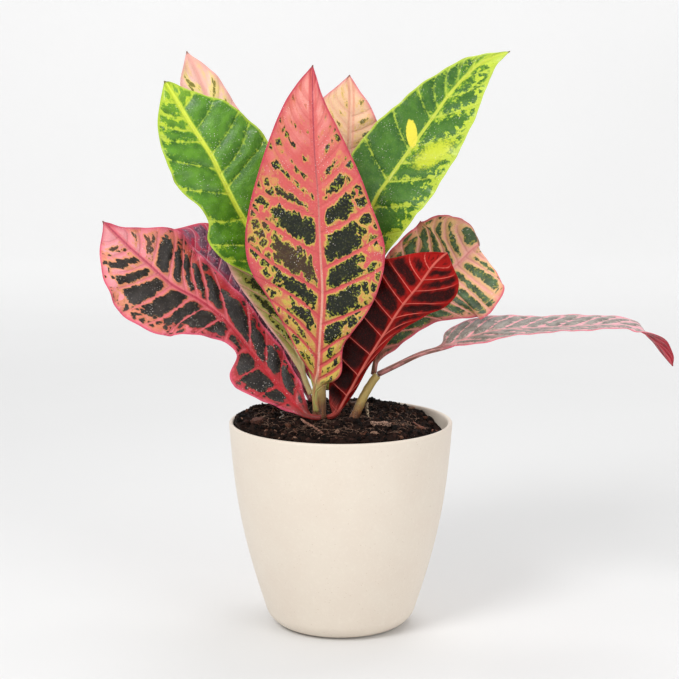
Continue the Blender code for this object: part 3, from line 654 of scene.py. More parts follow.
def leaf_mesh(leaf, settings):
    """A closed blade with its stalk: rounded fold, raised cells, rippled margin, rib below."""
    places, halves, sideways, upward, travelled = leaf_rows(leaf, settings.spacing / MM)
    share = column_shares()
    reach = np.abs(share)
    right = share > 0
    stem = np.linspace(STALK_RADIUS, TIP_RADIUS, len(places))[:, None]
    width = np.maximum(np.where(right, halves[:, 1:], halves[:, :1]), stem)
    bladed = np.clip((width / stem - 1) / BLADE_ONSET, 0, 1)
    fields = [np.where(right, r, l) for l, r in zip(
        vein_fields(leaf.left, travelled, reach, halves[:, 0]),
        vein_fields(leaf.right, travelled, reach, halves[:, 1]))]
    lift = np.radians(np.where(right, leaf.fold[1], leaf.fold[0])) * bladed
    folded = np.sqrt(reach ** 2 + FOLD_ROUNDING ** 2) - FOLD_ROUNDING
    travel = np.broadcast_to(travelled[:, None], width.shape)
    ripple = np.sin(2 * math.pi * travel / RIPPLE_LENGTH + 2.0 * right)
    ripple += 0.5 * np.sin(2 * math.pi * travel / (SECOND_RIPPLE * RIPPLE_LENGTH) + 1.0)
    crown = 1 - (2 * np.abs(fields[0] % 1 - 0.5)) ** 2
    window = np.clip(reach * 5, 0, 1) * np.clip((1 - reach) * 3, 0, 1)
    quilt = QUILT_HEIGHT * crown * window * np.clip(fields[1] / 9, 0, 1)
    middle = width * folded * np.sin(lift) + bladed * (leaf.wave * ripple * reach ** 3 + quilt)
    stalk = stem * np.sqrt(1 - share ** 2) * (1 - bladed)
    rib = stem * np.exp(-(width * share / (0.8 * stem)) ** 2)
    thin = settings.thickness / MM / 2 * np.sqrt(1 - reach ** 6)
    top = middle + stalk + (thin + RIB_ABOVE * rib) * bladed
    under = middle - stalk - (thin + RIB_BELOW * rib) * bladed
    across = width * share * np.cos(lift)

    def both(upper, lower):
        """The upper side's columns, then the lower side's on the way back."""
        return np.concatenate([upper, lower[:, -2:0:-1]], axis=1)

    rings = (places[:, None] + sideways[:, None] * both(across, across)[..., None]
             + upward[:, None] * both(top, under)[..., None]) * MM
    mesh = outward(mesh_from_grid(leaf.name, rings))
    blade = np.stack([width * share, travel, (1 - reach) * width], axis=-1)
    veins = np.stack(fields, axis=-1)
    add_attribute(mesh, "blade", both(blade, blade).reshape(-1, 3))
    add_attribute(mesh, "veins", both(veins, veins).reshape(-1, 3))
    add_attribute(mesh, "face", both(np.ones_like(top), np.zeros_like(top)).ravel())
    return mesh, travelled, halves


def leaf_pattern(tree, look, blade, veins, length):
    """How far inside a dark cell a point lies and how far from the nearest vein, in millimetres.

    The last number given to lesser is how softly the two distances meet.
    """
    across, along, margin = blade
    spot, gap, fill = veins
    side = across.math("GREATER_THAN", 0.0)
    middle = abs(across)
    width = margin + middle + 0.01
    near_rib = margin / width
    flat = tree.vector(across, along, side * 9.0)
    nearest = (0.5 - abs(spot.math("FRACT") - 0.5)) * gap
    comb = tree.noise(tree.vector(across * 0.5, spot * 1.6, side * 40.0), 1.0, 1.5)
    lumps = tree.noise(flat, 0.2)
    shreds = tree.noise(tree.vector(across * 0.22, spot * 2.6, side * 9.0), 1.0, 4.0, 0.6)
    rib_band, vein_band, left_band, right_band = look.bands
    thinning = (along / length).step(0.45, 0.9, 1.0, 1.7)
    clear = vein_band * thinning * (near_rib * 0.5 + 0.75)
    margin_band = side * (right_band - left_band) + left_band
    body = (nearest - clear).lesser(middle - rib_band, RIB_CORNER)
    body = body.lesser(margin - margin_band, MARGIN_CORNER) + CELL_SWELL
    body = body + (comb - 0.54) * (COMB_DEPTH * look.ragged)
    body = body + (lumps - 0.5) * (LUMP_DEPTH * look.ragged)
    emptied = (1.0 - fill) * (2.2 + (0.5 - shreds) * SHRED_DEPTH)
    body = body - emptied - fill.fade(0.0, 0.06, 8.0)
    chain_reach, chain_size, chain_share = look.chain
    if chain_share:
        uneven = chain_reach * (lumps * 1.2 + 0.4)
        body = body.lesser((near_rib - uneven) * width, 3.0)
        bent = tree.vector(across + (lumps - 0.5) * 5.0, along + (comb - 0.5) * 5.0, side * 31.0)
        wall = tree.cells(bent, 1.0 / chain_size, "DISTANCE_TO_EDGE") * chain_size
        core = tree.cells(bent, 1.0 / chain_size) * chain_size
        link = (wall - 0.7).lesser(0.56 * chain_size - core, 1.5)
        link = link.lesser(nearest - vein_band * 0.5, 1.0) + (shreds - 0.5) * 3.0
        sown = tree.noise(tree.vector(across, along, side * 31.0 + 5.0), 0.7 / chain_size, 1.0)
        link = link - sown.step(chain_share - 0.06, chain_share + 0.06) * 6.0
        link = link.lesser(margin - 1.4, 1.2).lesser((uneven - near_rib) * width + 0.1, 1.0)
        body = body.math("MAXIMUM", link - fill.fade(0.0, 0.5, 1.6))
    left_lace, right_lace = look.lace
    if left_lace or right_lace:
        holes = tree.noise(flat, 0.26, 4.0, 0.62)
        lace = (side * (right_lace - left_lace) + left_lace) * (1.15 - near_rib)
        body = body - lace * (holes - 0.46).math("MAXIMUM", 0.0) * LACE_DEPTH
    return body, nearest


def patch_share(across, along, flecks, centre, sizes, degrees, softness):
    """How much of a turned oval patch lies over a point, its edge broken by flecks."""
    cos, sin = math.cos(math.radians(degrees)), math.sin(math.radians(degrees))
    aside, ahead = across - centre[0], along - centre[1]
    short = (aside * cos + ahead * sin) / sizes[0]
    long = (ahead * cos - aside * sin) / sizes[1]
    edge = short * short + long * long + (flecks - 0.5) * (softness * 4.0)
    return edge.fade(1.0 - softness, 1.0 + softness)


def leaf_material(leaf, travelled, halves, settings):
    """Waxy leaf: dark cells with a pale halo between coloured veins, plainer underneath."""
    look = LOOKS[leaf.look]
    length = float(travelled[-1])
    tree = material_tree(leaf.name)
    blade, veins = (tree.parts(tree.attribute(name)["Vector"]) for name in ("blade", "veins"))
    face = tree.attribute("face")["Fac"]
    inside, nearest = leaf_pattern(tree, look, blade, veins, length)
    across, along, margin = blade
    fill = veins[2]
    middle = abs(across)
    way = along / length
    flat = tree.vector(across, along)
    fine = tree.noise(flat, 0.9, 3.0, 0.6)
    soft = tree.noise(flat, 0.12)
    flecks = tree.noise(tree.vector(across, along, 3.0), 0.75, 1.5, 0.6)
    grain = abs(fine - 0.5) * 1.2
    drift = way + (soft - 0.5) * 0.3
    rise = drift.step(0.1, 0.8)
    late = drift.step(0.45, 0.9)

    halo = tree.mix(late, *look.halo)
    ground = tree.ramp(drift, *zip(GROUND_STOPS, look.ground))
    ground = tree.mix(grain, ground, look.margin)
    # Deeper red in from the right margin: partly the leaf's own colour, partly painted shade on
    # the folded half turned from the light.
    if look.blush:
        reach, deeper = look.blush
        blush = (across.step(-1.0, 4.0) * margin.fade(0.0, reach, 0.9)
                 * way.step(0.7, 0.9, 1.0, 0.2))
        ground = tree.mix(blush, ground, deeper)
        halo = tree.mix(blush * 0.8, halo, deeper)
    ground = tree.mix(flecks.step(0.56, 0.70, 0.0, 0.24), ground, halo)
    vein_paint = tree.mix(rise, *look.vein)
    rib_line, vein_line = look.lines
    line = nearest.fade(vein_line * 0.55, vein_line, 0.92) * (1.0 - late * 0.6)
    colour = tree.coats(
        ground, (inside.step(-look.halo_width - 1.2, -0.1), halo),
        (margin.fade(0.5, 5.0, 0.5) * (rise * 0.7 + 0.3), look.margin), (line, vein_paint))

    tone = tree.noise(flat, 0.18, 4.0, 0.4).step(0.32, 0.7) * 0.6
    # Cells paler between the veins and darker beside them: painted shade in the sunken vein
    # grooves. The noise tone is the leaf's own, and the cells turn darker towards the foot.
    tone = tone + nearest.step(0.6, 5.0, 0.0, 0.4)
    dark = tree.mix(tone * drift.step(0.0, 0.5, 0.1, 1.0), *look.dark)
    rim_flecks = flecks.step(0.53, 0.62) * inside.step(0.4, 0.7 + 1.5 * look.ragged, 0.8, 0.05)
    dark = tree.coats(
        dark, (fill.fade(0.2, 0.78) * soft.step(0.3, 0.6, 0.55, 1.0), look.faded),
        (rim_flecks, look.fleck))
    rib = (middle - (1.15 - way * 0.6) * rib_line).fade(-0.3, 0.3)
    colour = tree.coats(
        colour, (inside.step(-look.blur / 2, look.blur / 2), dark),
        ((middle - look.bands[0]).fade(-0.8, 0.2, 0.85), vein_paint),
        (rib * 0.9, tree.mix(way.step(0.3, 0.85), *look.rib)),
        (margin.fade(0.45, 1.7, 0.9), look.margin))
    for name, centre, sizes, degrees, pale, softness in PATCHES:
        if leaf.name == name:
            share = patch_share(across, along, flecks, centre, sizes, degrees, softness)
            colour = tree.mix(share, colour, pale)
    # Pale specks over the top side: partly dust, partly painted glints of light on the wax.
    specks = tree.cells(tree.vector(across, along, 11.0), 0.8).fade(0.1, 0.24)
    dust_and_glint_share = tree.noise(tree.vector(across, along, 23.0), 0.09).step(0.46, 0.66, 0.08, 0.6)
    dried = way.step(0.989, 0.997, 0.0, 0.8)
    colour = tree.coats(colour, (dried, DRY_TIP), (specks * dust_and_glint_share, DUST_AND_GLINT))

    foot_back, tip_back, cell_back, vein_back = look.back
    ground_back = tree.mix(rise, foot_back, tip_back)
    reaching = (margin / (margin + middle + 0.01)).step(0.06, 0.4, 0.1, 0.85)
    back = tree.coats(
        ground_back, (inside.step(-1.2, 1.2), cell_back), (grain, ground_back),
        (nearest.fade(0.1, 0.32) * reaching, vein_back),
        ((middle - 0.6).fade(-0.25, 0.25, 0.85), vein_back))
    stalk_end = float(travelled[np.argmax(halves.max(axis=1) > 3.0)])
    streaks = tree.noise(tree.vector(across * 2.2, along * 0.12, 5.0), 1.0)
    stalk_paint = tree.mix(streaks.step(0.45, 0.62, 0.0, 0.5), look.stalk, look.vein[0])
    colour = tree.mix(along.fade(stalk_end - 1.0, stalk_end + 9.0),
                      tree.mix(face, back, colour), stalk_paint)

    net = tree.cells(flat, 0.42, "DISTANCE_TO_EDGE").step(0.0, 0.16)
    groove = (nearest.fade(0.0, 1.1, -1.0) + nearest.fade(0.0, 5.0, -1.6)
              + (middle - 0.4).fade(0.0, 1.6, -1.2))
    height = groove * (face * 2.0 - 1.0) + net * 0.25 + fine * 0.5
    roughness = (fine - 0.5) * 0.18 + settings.roughness + inside.fade(-0.5, 0.5, 0.1)
    return finish_material(tree, colour, roughness, height, 0.3 * MM,
                           {"Coat Weight": look.gloss, "Coat Roughness": 0.2,
                            "Specular IOR Level": min(0.25, look.gloss * 1.6)})


class CROTON_OT_leaves(bpy.types.Operator):
    """Build every leaf, each as one blade with its stalk"""

    bl_idname = "croton.leaves"
    bl_label = "Leaves"

    def execute(self, context):
        settings = context.scene.croton_leaves
        for leaf in LEAVES:
            mesh, travelled, halves = leaf_mesh(leaf, settings)
            mesh.materials.append(leaf_material(leaf, travelled, halves, settings))
            new_piece(leaf.name + "_blade", mesh, (leaf.name,))
        return {"FINISHED"}


# ---- pot

RIM_RADIUS = 62.5
POT_HEIGHT = 116.2
BASE_RADIUS = 39.2
SIDE_BULGE = 0.2
CORNER_RADIUS = 9.0
WALL = 2.6
FLOOR = 3.0
TURNING_RADIUS = 30.0
LIP_ANGLES = (157, 135, 112, 90, 67, 45, 22)


def pot_radius(height):
    """Outer radius of the pot's side at a height, in millimetres."""
    part_way = height / POT_HEIGHT
    swell = SIDE_BULGE * math.sin(math.pi * part_way)
    radius = BASE_RADIUS + (RIM_RADIUS - BASE_RADIUS) * (part_way + swell)
    if height < CORNER_RADIUS:
        drop = (CORNER_RADIUS - height) / CORNER_RADIUS
        radius -= CORNER_RADIUS * (1 - math.sqrt(1 - drop * drop))
    return radius


def pot_profile():
    """Radius and height rows from the middle of the floor inside, over the lip, to the base."""
    corner = [CORNER_RADIUS * (1 - math.cos(a)) for a in np.linspace(0.02, math.pi / 2, 12)]
    heights = corner + list(np.linspace(CORNER_RADIUS, POT_HEIGHT - WALL / 2, 40))[1:]
    inside = [h for h in heights if h > FLOOR + CORNER_RADIUS / 2]
    middle = pot_radius(POT_HEIGHT) - WALL / 2
    rows = [(0.0, FLOOR), (pot_radius(inside[0]) - WALL - CORNER_RADIUS / 2, FLOOR)]
    rows += [(pot_radius(h) - WALL, h) for h in inside]
    rows += [(middle + WALL / 2 * math.cos(a), POT_HEIGHT - WALL / 2 + WALL / 2 * math.sin(a))
             for a in map(math.radians, LIP_ANGLES)]
    rows += [(pot_radius(h), h) for h in reversed(heights)]
    return rows + [(pot_radius(0.0), 0.0), (0.0, 0.0)]


def turning_tree(material):
    """Turn a profile about the upright axis."""
    tree, given = geometry_tree("turned_pot", Sides="Int", Radius="Float")
    circle = tree.node("GeometryNodeCurvePrimitiveCircle",
                       {"Resolution": given["Sides"], "Radius": given["Radius"]}, mode="RADIUS")
    profile = tree.node("GeometryNodeMeshToCurve", {0: given["Geometry"]})
    turned = tree.node("GeometryNodeCurveToMesh", {0: circle, 1: profile})
    merged = tree.node("GeometryNodeMergeByDistance", {0: turned, "Distance": 0.01 * MM})
    return end_tree(tree, tree.node("GeometryNodeSetShadeSmooth", {0: merged}), material)


def pot_material(settings):
    """Pressed plant fibre: cream, faintly mottled, with husk flecks and short pale fibres."""
    tree = material_tree("pot")
    place = tree.place()
    mottle = tree.noise(place, 0.05, 3.0)
    cloud = tree.noise(place, 0.5, 4.0, 0.6)
    fine = tree.noise(place, 2.2, 3.0, 0.65)
    sparse = tree.noise(place, 0.23, 1.0).step(0.50, 0.60)
    husks = tree.cells(place, 0.55).fade(0.07, 0.16) * sparse
    pale = tree.cells(place, 0.9).fade(0.06, 0.12)
    colour = tree.coats((*settings.colour, 1.0), ((mottle - 0.4) * 0.5, "d9c4b4"),
                        ((cloud - 0.5) * 0.5, "fff6ea"),
                        (husks * 0.6, (*settings.fleck_colour, 1.0)), (pale * 0.35, "fffdf6"))
    roughness = (fine - 0.5) * 0.2 + (mottle - 0.5) * 0.15 + 0.5
    height = fine * 0.25 + cloud * 0.5 - husks * 0.3
    return finish_material(tree, colour, roughness, height, 0.12 * MM,
                           {"Coat Weight": 0.12, "Coat Roughness": 0.35})


class CROTON_OT_pot(bpy.types.Operator):
    """Turn the pot from its profile"""

    bl_idname = "croton.pot"
    bl_label = "Pot"

    def execute(self, context):
        settings = context.scene.croton_pot
        rows = [((radius - TURNING_RADIUS) * MM, -height * MM, 0.0)
                for radius, height in pot_profile()]
        edges = [(i, i + 1) for i in range(len(rows) - 1)]
        mesh = grown(linked("pot_profile", new_mesh("pot_profile", rows, [], edges)),
                     turning_tree(pot_material(settings)),
                     Sides=settings.sides, Radius=TURNING_RADIUS * MM)
        new_piece("pot_shell", outward(mesh), ("pot",))
        return {"FINISHED"}


# ---- soil

SOIL_LEVEL = 116.4
SOIL_CLEARANCE = 0.35
SOIL_HEAP = (-48, 6, 26, 30, 1.2)
SOIL_DIP = (60, 8, 22, 30, -9.0)
SOIL_RINGS = 88
SOIL_SIDES = 240
SOIL_SEED = 4
# Lengths and heights of the waves that make the soil's lumps, and how many of each cross.
LUMP_WAVES = ((11.0, 0.9), (5.5, 0.6), (2.6, 0.4), (1.4, 0.22))
CROSSED_WAVES = 6
BODY_DEPTHS = (0.1, 0.2, 0.45, 0.7, 0.9)
BED_RADIUS = RIM_RADIUS - 3.4
BED_DROP = 0.1
CRUMB_DENSITY = 9.0e5
CRUMB_SCALES = (0.35, 0.35, 0.25), (1.25, 0.9, 0.75)
CRUMB_WOBBLE = 1.6
FULL_TURNS = (6.28, 6.28, 6.28)
LARGE_SPACING = 4.8
LARGE_SIZE = 2.2


def bump(x, y, shape):
    centre_x, centre_y, spread_x, spread_y, height = shape
    return height * np.exp(-((x - centre_x) / spread_x) ** 2 - ((y - centre_y) / spread_y) ** 2)


def soil_level(x, y):
    """Height of the soil's smooth surface, in millimetres."""
    waves = 0.5 * np.sin(x / 9) * np.cos(y / 8 + 0.6)
    return SOIL_LEVEL + waves + bump(x, y, SOIL_HEAP) + bump(x, y, SOIL_DIP)


def rough_field(x, y):
    """A lumpy field made of many crossed waves, in millimetres."""
    chance = np.random.default_rng(SOIL_SEED)
    total = np.zeros_like(x)
    for length, height in LUMP_WAVES:
        for _ in range(CROSSED_WAVES):
            angle, phase = chance.uniform(0, 2 * math.pi, 2)
            total += height * 0.45 * np.sin((x * math.cos(angle) + y * math.sin(angle))
                                            * 2 * math.pi / length + phase)
    return total


def wall_radius(heights, clearance):
    """How far out the soil may reach at some heights, in millimetres."""
    return np.vectorize(pot_radius)(np.minimum(heights, POT_HEIGHT)) - WALL - clearance


def soil_rings(radius, turn, roughness, clearance):
    """Rings of points over the crumbly top, drawn in where they would pass the wall."""
    x, y = radius * np.cos(turn), radius * np.sin(turn)
    z = soil_level(x, y) + rough_field(x, y) * roughness
    inward = np.minimum(1.0, wall_radius(z, clearance) / np.maximum(radius, 1e-6))
    return np.stack([x * inward, y * inward, z], axis=-1)


def soil_mesh():
    """The filling: a crumbly top that meets the wall, and a plain body below."""
    share = np.linspace(0, 1, SOIL_RINGS)[:, None]
    turn = np.linspace(0, 2 * math.pi, SOIL_SIDES, endpoint=False)
    top = soil_rings(share * (RIM_RADIUS - 1.0), turn, np.clip((1 - share) * 14, 0.35, 1),
                     SOIL_CLEARANCE)[::-1]
    top[-1] = (0.0, 0.0, top[-1, :, 2].mean())
    sides = []
    for depth in BODY_DEPTHS:
        height = FLOOR + SOIL_CLEARANCE + (top[0, :, 2] - FLOOR) * depth
        reach = wall_radius(height, 2 * SOIL_CLEARANCE)
        sides.append(np.stack([reach * np.cos(turn), reach * np.sin(turn), height], axis=-1))
    bottom = np.zeros_like(top[0])
    bottom[:, 2] = FLOOR + SOIL_CLEARANCE + 4
    mesh = mesh_from_grid("soil", np.stack([bottom, *sides, *top]) * MM, closed=False)
    return outward(mesh, merge=0.002 * MM)


def soil_material(settings):
    """Damp peat: nearly black, browner on the lumps."""
    tree = material_tree("soil")
    place = tree.place()
    lumps = tree.noise(place, 0.35, 4.0, 0.65)
    grit = tree.noise(place, 1.6, 3.0, 0.7)
    colour = tree.ramp(lumps + (grit - 0.5) * 0.6, (0.35, (*settings.colour, 1.0)),
                       (0.62, "281913"), (0.87, "482e24"))
    return finish_material(tree, colour, grit * 0.25 + 0.7, lumps + grit * 0.7, 0.9 * MM,
                           {"Specular IOR Level": 0.12})


def crumb_material():
    """Peat crumbs, each with its own tint, from black through reddish brown to pale."""
    tree = material_tree("crumbs")
    grit = tree.noise(tree.place(), 1.9, 3.0, 0.7)
    colour = tree.ramp(tree.attribute("tint")["Fac"] + (grit - 0.5) * 0.18, (0.2, "0a0604"),
                       (0.62, "1b0f0b"), (0.86, "35201a"), (0.96, "65402f"), (1.0, "9c7c68"))
    return finish_material(tree, colour, grit * 0.3 + 0.62, grit, 0.5 * MM,
                           {"Specular IOR Level": 0.14})


def crumb_tree(material):
    """Scatter uneven crumbs over a surface, each turned, sized and tinted at random."""
    tree, given = geometry_tree("crumbs", Spacing="Float", Size="Float", Sides="Int", Seed="Int")
    scatter = tree.node("GeometryNodeDistributePointsOnFaces",
                        {"Mesh": given["Geometry"], "Distance Min": given["Spacing"],
                         "Density Max": CRUMB_DENSITY, "Seed": given["Seed"]},
                        distribute_method="POISSON")
    lump = tree.node("GeometryNodeMeshUVSphere",
                     {"Radius": given["Size"], "Segments": given["Sides"], "Rings": 4})
    turn = tree.node("FunctionNodeRandomValue", {"Max": FULL_TURNS, "Seed": 3},
                     data_type="FLOAT_VECTOR")
    size = tree.node("FunctionNodeRandomValue",
                     {"Min": CRUMB_SCALES[0], "Max": CRUMB_SCALES[1], "Seed": 5},
                     data_type="FLOAT_VECTOR")
    tint = tree.node("FunctionNodeRandomValue", {"Seed": 8}, data_type="FLOAT")[1]
    placed = tree.node("GeometryNodeInstanceOnPoints",
                       {"Points": scatter, "Instance": lump, "Rotation": turn, "Scale": size})
    tinted = tree.node("GeometryNodeStoreNamedAttribute",
                       {"Geometry": placed, "Name": "tint", "Value": tint},
                       data_type="FLOAT", domain="INSTANCE")
    real = tree.node("GeometryNodeRealizeInstances", {"Geometry": tinted})
    wobble = tree.noise(tree.node("GeometryNodeInputPosition"), 900.0, 1.0)["Color"]
    centred = tree.node("ShaderNodeVectorMath", {0: wobble, 1: (0.5, 0.5, 0.5)},
                        operation="SUBTRACT")
    bent = tree.node("GeometryNodeSetPosition",
                     {"Geometry": real, "Offset": tree.scaled(centred, CRUMB_WOBBLE * MM)})
    return end_tree(tree, bent, material)


def crumb_bed():
    """A light copy of the soil's top for crumbs to lie on."""
    turn = np.linspace(0, 2 * math.pi, 90, endpoint=False)
    rings = soil_rings(np.linspace(0.01, 1, 40)[:, None] * BED_RADIUS, turn, 1.0,
                       SOIL_CLEARANCE + 1.4)
    rings[..., 2] -= BED_DROP
    return linked("crumb_bed", mesh_from_grid("crumb_bed", rings * MM, closed=False))


class CROTON_OT_soil(bpy.types.Operator):
    """Fill the pot with soil and strew it with crumbs"""

    bl_idname = "croton.soil"
    bl_label = "Soil"

    def execute(self, context):
        settings = context.scene.croton_soil
        mesh = soil_mesh()
        mesh.materials.append(soil_material(settings))
        new_piece("soil_filling", mesh, ("soil",))
        tree = crumb_tree(crumb_material())
        sizes = (("small_crumbs", settings.crumb_spacing, settings.crumb_size, 5, 11),
                 ("large_crumbs", LARGE_SPACING * MM, LARGE_SIZE * settings.crumb_size, 9, 23))
        for name, spacing, size, sides, seed in sizes:
            mesh = grown(crumb_bed(), tree, Spacing=spacing, Size=size, Sides=sides, Seed=seed)
            new_piece(name, mesh, slot="soil")
        return {"FINISHED"}


# ---- stems and litter

# Stems: name, rows of x, y, z and radius, and the heights where bark gives way to green.
STEMS = (
    ("stem_main", ((-12, 0, 103, 4.2), (-12, 0, 112, 4.2), (-12, 0, 121, 3.9),
                   (-11.5, 1, 132, 3.4), (-10.5, 2.5, 143, 2.8), (-9.5, 4, 153, 2.0)), 122, 137),
    ("stem_side", ((2.5, 0, 107, 2.7), (6.5, 0, 115.5, 2.7), (9.4, 0, 122, 2.6),
                   (13.5, 0.5, 131, 2.5), (18, 1, 138.5, 2.3), (20.5, 1, 141.5, 2.1)), 119, 130),
)

# Twigs and roots: name, radius, colour, and rows of x, y and height above the soil.
TWIGS = (
    ("twig_front", 0.9, "c08c76", ((-22, -5, 1.2), (-19, -16, 1.3), (-15, -28, 1.2),
                                   (-10, -41, 1.1))),
    ("twig_right", 0.9, "9a5f4a", ((41, 7, 1.3), (45, -2, 1.5), (49, -10, 1.4), (53, -18, 1.3))),
    ("root_left", 0.6, "b3a79c", ((-34, -3, 0.8), (-32, 4, 1.0), (-34, 11, 1.1), (-31, 17, 0.8))),
    ("dry_sheath", 0.8, "dcc6a4", ((15.5, 3, 0.6), (15, 4.4, 4), (14.6, 4.6, 7), (15.4, 5.0, 9))),
)

# Bark chips: name, colour, x, y and height above the soil, size, and turn in degrees.
CHIPS = (
    ("bark_chip_right", "c09a84", (22, -17, 1.5), (11, 4.5, 2.0), -12),
    ("bark_chip_left", "6e4438", (-46, -14, 1.6), (9, 5.0, 2.2), 60),
    ("bark_chip_back", "6a4a3a", (10, 38, 1.6), (10, 6.0, 2.2), 25),
)

LITTER_SEED = 9
FLAKE_BREAK = 0.22
FIBRE_RADIUS = 0.11
FIBRE_REACH = 50
FIBRE_STEPS = 6


def soil_point(x, y, lift):
    return (x * MM, y * MM, float(soil_level(np.float64(x), np.float64(y)) + lift) * MM)


def strand_tree(material):
    """Give every strand of a curve a round section, roughened by a noise."""
    tree, given = geometry_tree("strands", Sides="Int", Roughness="Float", Grain="Float")
    ring = tree.node("GeometryNodeCurvePrimitiveCircle",
                     {"Resolution": given["Sides"], "Radius": 1.0}, mode="RADIUS")
    tube = tree.node("GeometryNodeCurveToMesh",
                     {0: given["Geometry"], 1: ring, "Scale": tree.node("GeometryNodeInputRadius"),
                      "Fill Caps": True})
    wobble = tree.noise(tree.node("GeometryNodeInputPosition"), given["Grain"])
    shift = tree.scaled(tree.node("GeometryNodeInputNormal"),
                        (wobble - 0.5) * given["Roughness"])
    bent = tree.node("GeometryNodeSetPosition", {"Geometry": tube, "Offset": shift})
    return end_tree(tree, tree.node("GeometryNodeSetShadeSmooth", {0: bent}), material)


def strand_mesh(name, strands, material, sides, roughness, grain):
    """Round strands, each a list of (place, radius) rows."""
    curve = bpy.data.curves.new(name, "CURVE")
    curve.dimensions = "3D"
    for strand in strands:
        spline = curve.splines.new("POLY")
        spline.points.add(len(strand) - 1)
        for point, (place, radius) in zip(spline.points, strand):
            point.co = (*place, 1.0)
            point.radius = radius
    return grown(linked(name, curve), strand_tree(material),
                 Sides=sides, Roughness=roughness * MM, Grain=grain)


def stem_material(name, settings, low, high):
    """Young stem, green above and barked below, with length-wise streaks and pale pores."""
    tree = material_tree(name)
    place = tree.place()
    x, y, z = tree.parts(place)
    streak = tree.noise(tree.vector(x * 1.4, y * 1.4, z * 0.25), 1.0, 3.0, 0.6)
    patch = tree.noise(place, 0.3, 3.0)
    green = tree.mix(streak.step(0.35, 0.7), (*settings.green, 1.0), "bfa258")
    bark = tree.mix(streak.step(0.3, 0.75), (*settings.bark, 1.0), "9a6034")
    rise = (z + (patch - 0.5) * 9.0).step(low, high)
    pores = tree.cells(place, 0.8).fade(0.08, 0.2)
    colour = tree.coats(bark, (rise, green), (pores * 0.5, "d8c8a4"))
    return finish_material(tree, colour, streak * 0.3 + 0.42, streak + pores * 0.6, 0.35 * MM,
                           {"Coat Weight": 0.1, "Coat Roughness": 0.4})


def wood_material(name, shade):
    """Dry twig, root or bark of one colour, darker in its grain."""
    tree = material_tree(name)
    grain = tree.noise(tree.place(), 0.9, 4.0, 0.7)
    colour = tree.mix(grain.step(0.38, 0.62), "3a241b", shade)
    return finish_material(tree, colour, grain * 0.3 + 0.6, grain, 0.5 * MM,
                           {"Specular IOR Level": 0.3})


class CROTON_OT_stems(bpy.types.Operator):
    """Grow the two stems"""

    bl_idname = "croton.stems"
    bl_label = "Stems"

    def execute(self, context):
        for name, rows, low, high in STEMS:
            strand = [(tuple(row[:3] * MM), row[3] * MM) for row in smooth_rows(rows, 10)]
            material = stem_material(name, context.scene.croton_stems, low, high)
            mesh = strand_mesh(name, [strand], material, 28, 0.7, 260.0)
            new_piece(name + "_bark", mesh, (name,))
        return {"FINISHED"}


def flake_mesh(name, place, size, degrees, chance):
    """A flake of bark: a subdivided block whose faces are broken up and edges worn."""
    form = bmesh.new()
    bmesh.ops.create_cube(form, size=1.0)
    bmesh.ops.subdivide_edges(form, edges=form.edges, cuts=7, use_grid_fill=True)
    for vertex in form.verts:
        co = vertex.co
        worn = 1 - 0.35 * (2 * abs(co.x)) ** 4
        vertex.co = (co.x * size[0], co.y * size[1] * worn, co.z * size[2] * worn)
        vertex.co += Vector(chance.uniform(-FLAKE_BREAK, FLAKE_BREAK, 3))
        vertex.co.z += 0.35 * math.sin(vertex.co.x * 0.8)
    turn = Matrix.Rotation(math.radians(degrees), 4, "Z")
    bmesh.ops.scale(form, vec=(MM, MM, MM), verts=form.verts)
    bmesh.ops.transform(form, matrix=Matrix.Translation(soil_point(*place)) @ turn,
                        verts=form.verts)
    mesh = bpy.data.meshes.new(name)
    form.to_mesh(mesh)
    form.free()
    return mesh


def fibre_strands(count, chance):
    """Short bent fibres that lie over the soil in all directions."""
    strands = []
    while len(strands) < count:
        x, y = chance.uniform(-52, 52, 2)
        if math.hypot(x, y) > FIBRE_REACH:
            continue
        heading = chance.uniform(0, 2 * math.pi)
        length = chance.uniform(3, 13)
        bend = chance.uniform(-0.5, 0.5)
        strand = []
        for i in range(FIBRE_STEPS + 1):
            lift = 0.9 + 1.1 * math.sin(math.pi * i / FIBRE_STEPS)
            strand.append((soil_point(x, y, lift), FIBRE_RADIUS * MM * (1.3 - 0.1 * i)))
            x += length / FIBRE_STEPS * math.cos(heading)
            y += length / FIBRE_STEPS * math.sin(heading)
            heading += bend
        if math.hypot(x, y) < FIBRE_REACH + 4:
            strands.append(strand)
    return strands


class CROTON_OT_litter(bpy.types.Operator):
    """Strew twigs, roots, bark and fibres over the soil"""

    bl_idname = "croton.litter"
    bl_label = "Litter"

    def execute(self, context):
        chance = np.random.default_rng(LITTER_SEED)
        for name, radius, shade, points in TWIGS:
            rows = smooth_rows(points, 8)
            taper = 0.6 + 0.4 * np.sin(np.linspace(0.2, math.pi - 0.2, len(rows)))
            strand = [(soil_point(*row), radius * MM * share) for row, share in zip(rows, taper)]
            mesh = strand_mesh(name, [strand], wood_material(name, shade), 12, 0.6, 900.0)
            new_piece(name + "_bark", mesh, (name,))
        for name, shade, place, size, degrees in CHIPS:
            mesh = flake_mesh(name, place, size, degrees, chance)
            mesh.materials.append(wood_material(name, shade))
            new_piece(name + "_flake", mesh, (name,))
        strands = fibre_strands(context.scene.croton_soil.fibres, chance)
        mesh = strand_mesh("fibres", strands, wood_material("fibres", "9a7a66"), 4, 0.05, 900.0)
        new_piece("soil_fibres", mesh, slot="soil")
        return {"FINISHED"}


# ---- stage

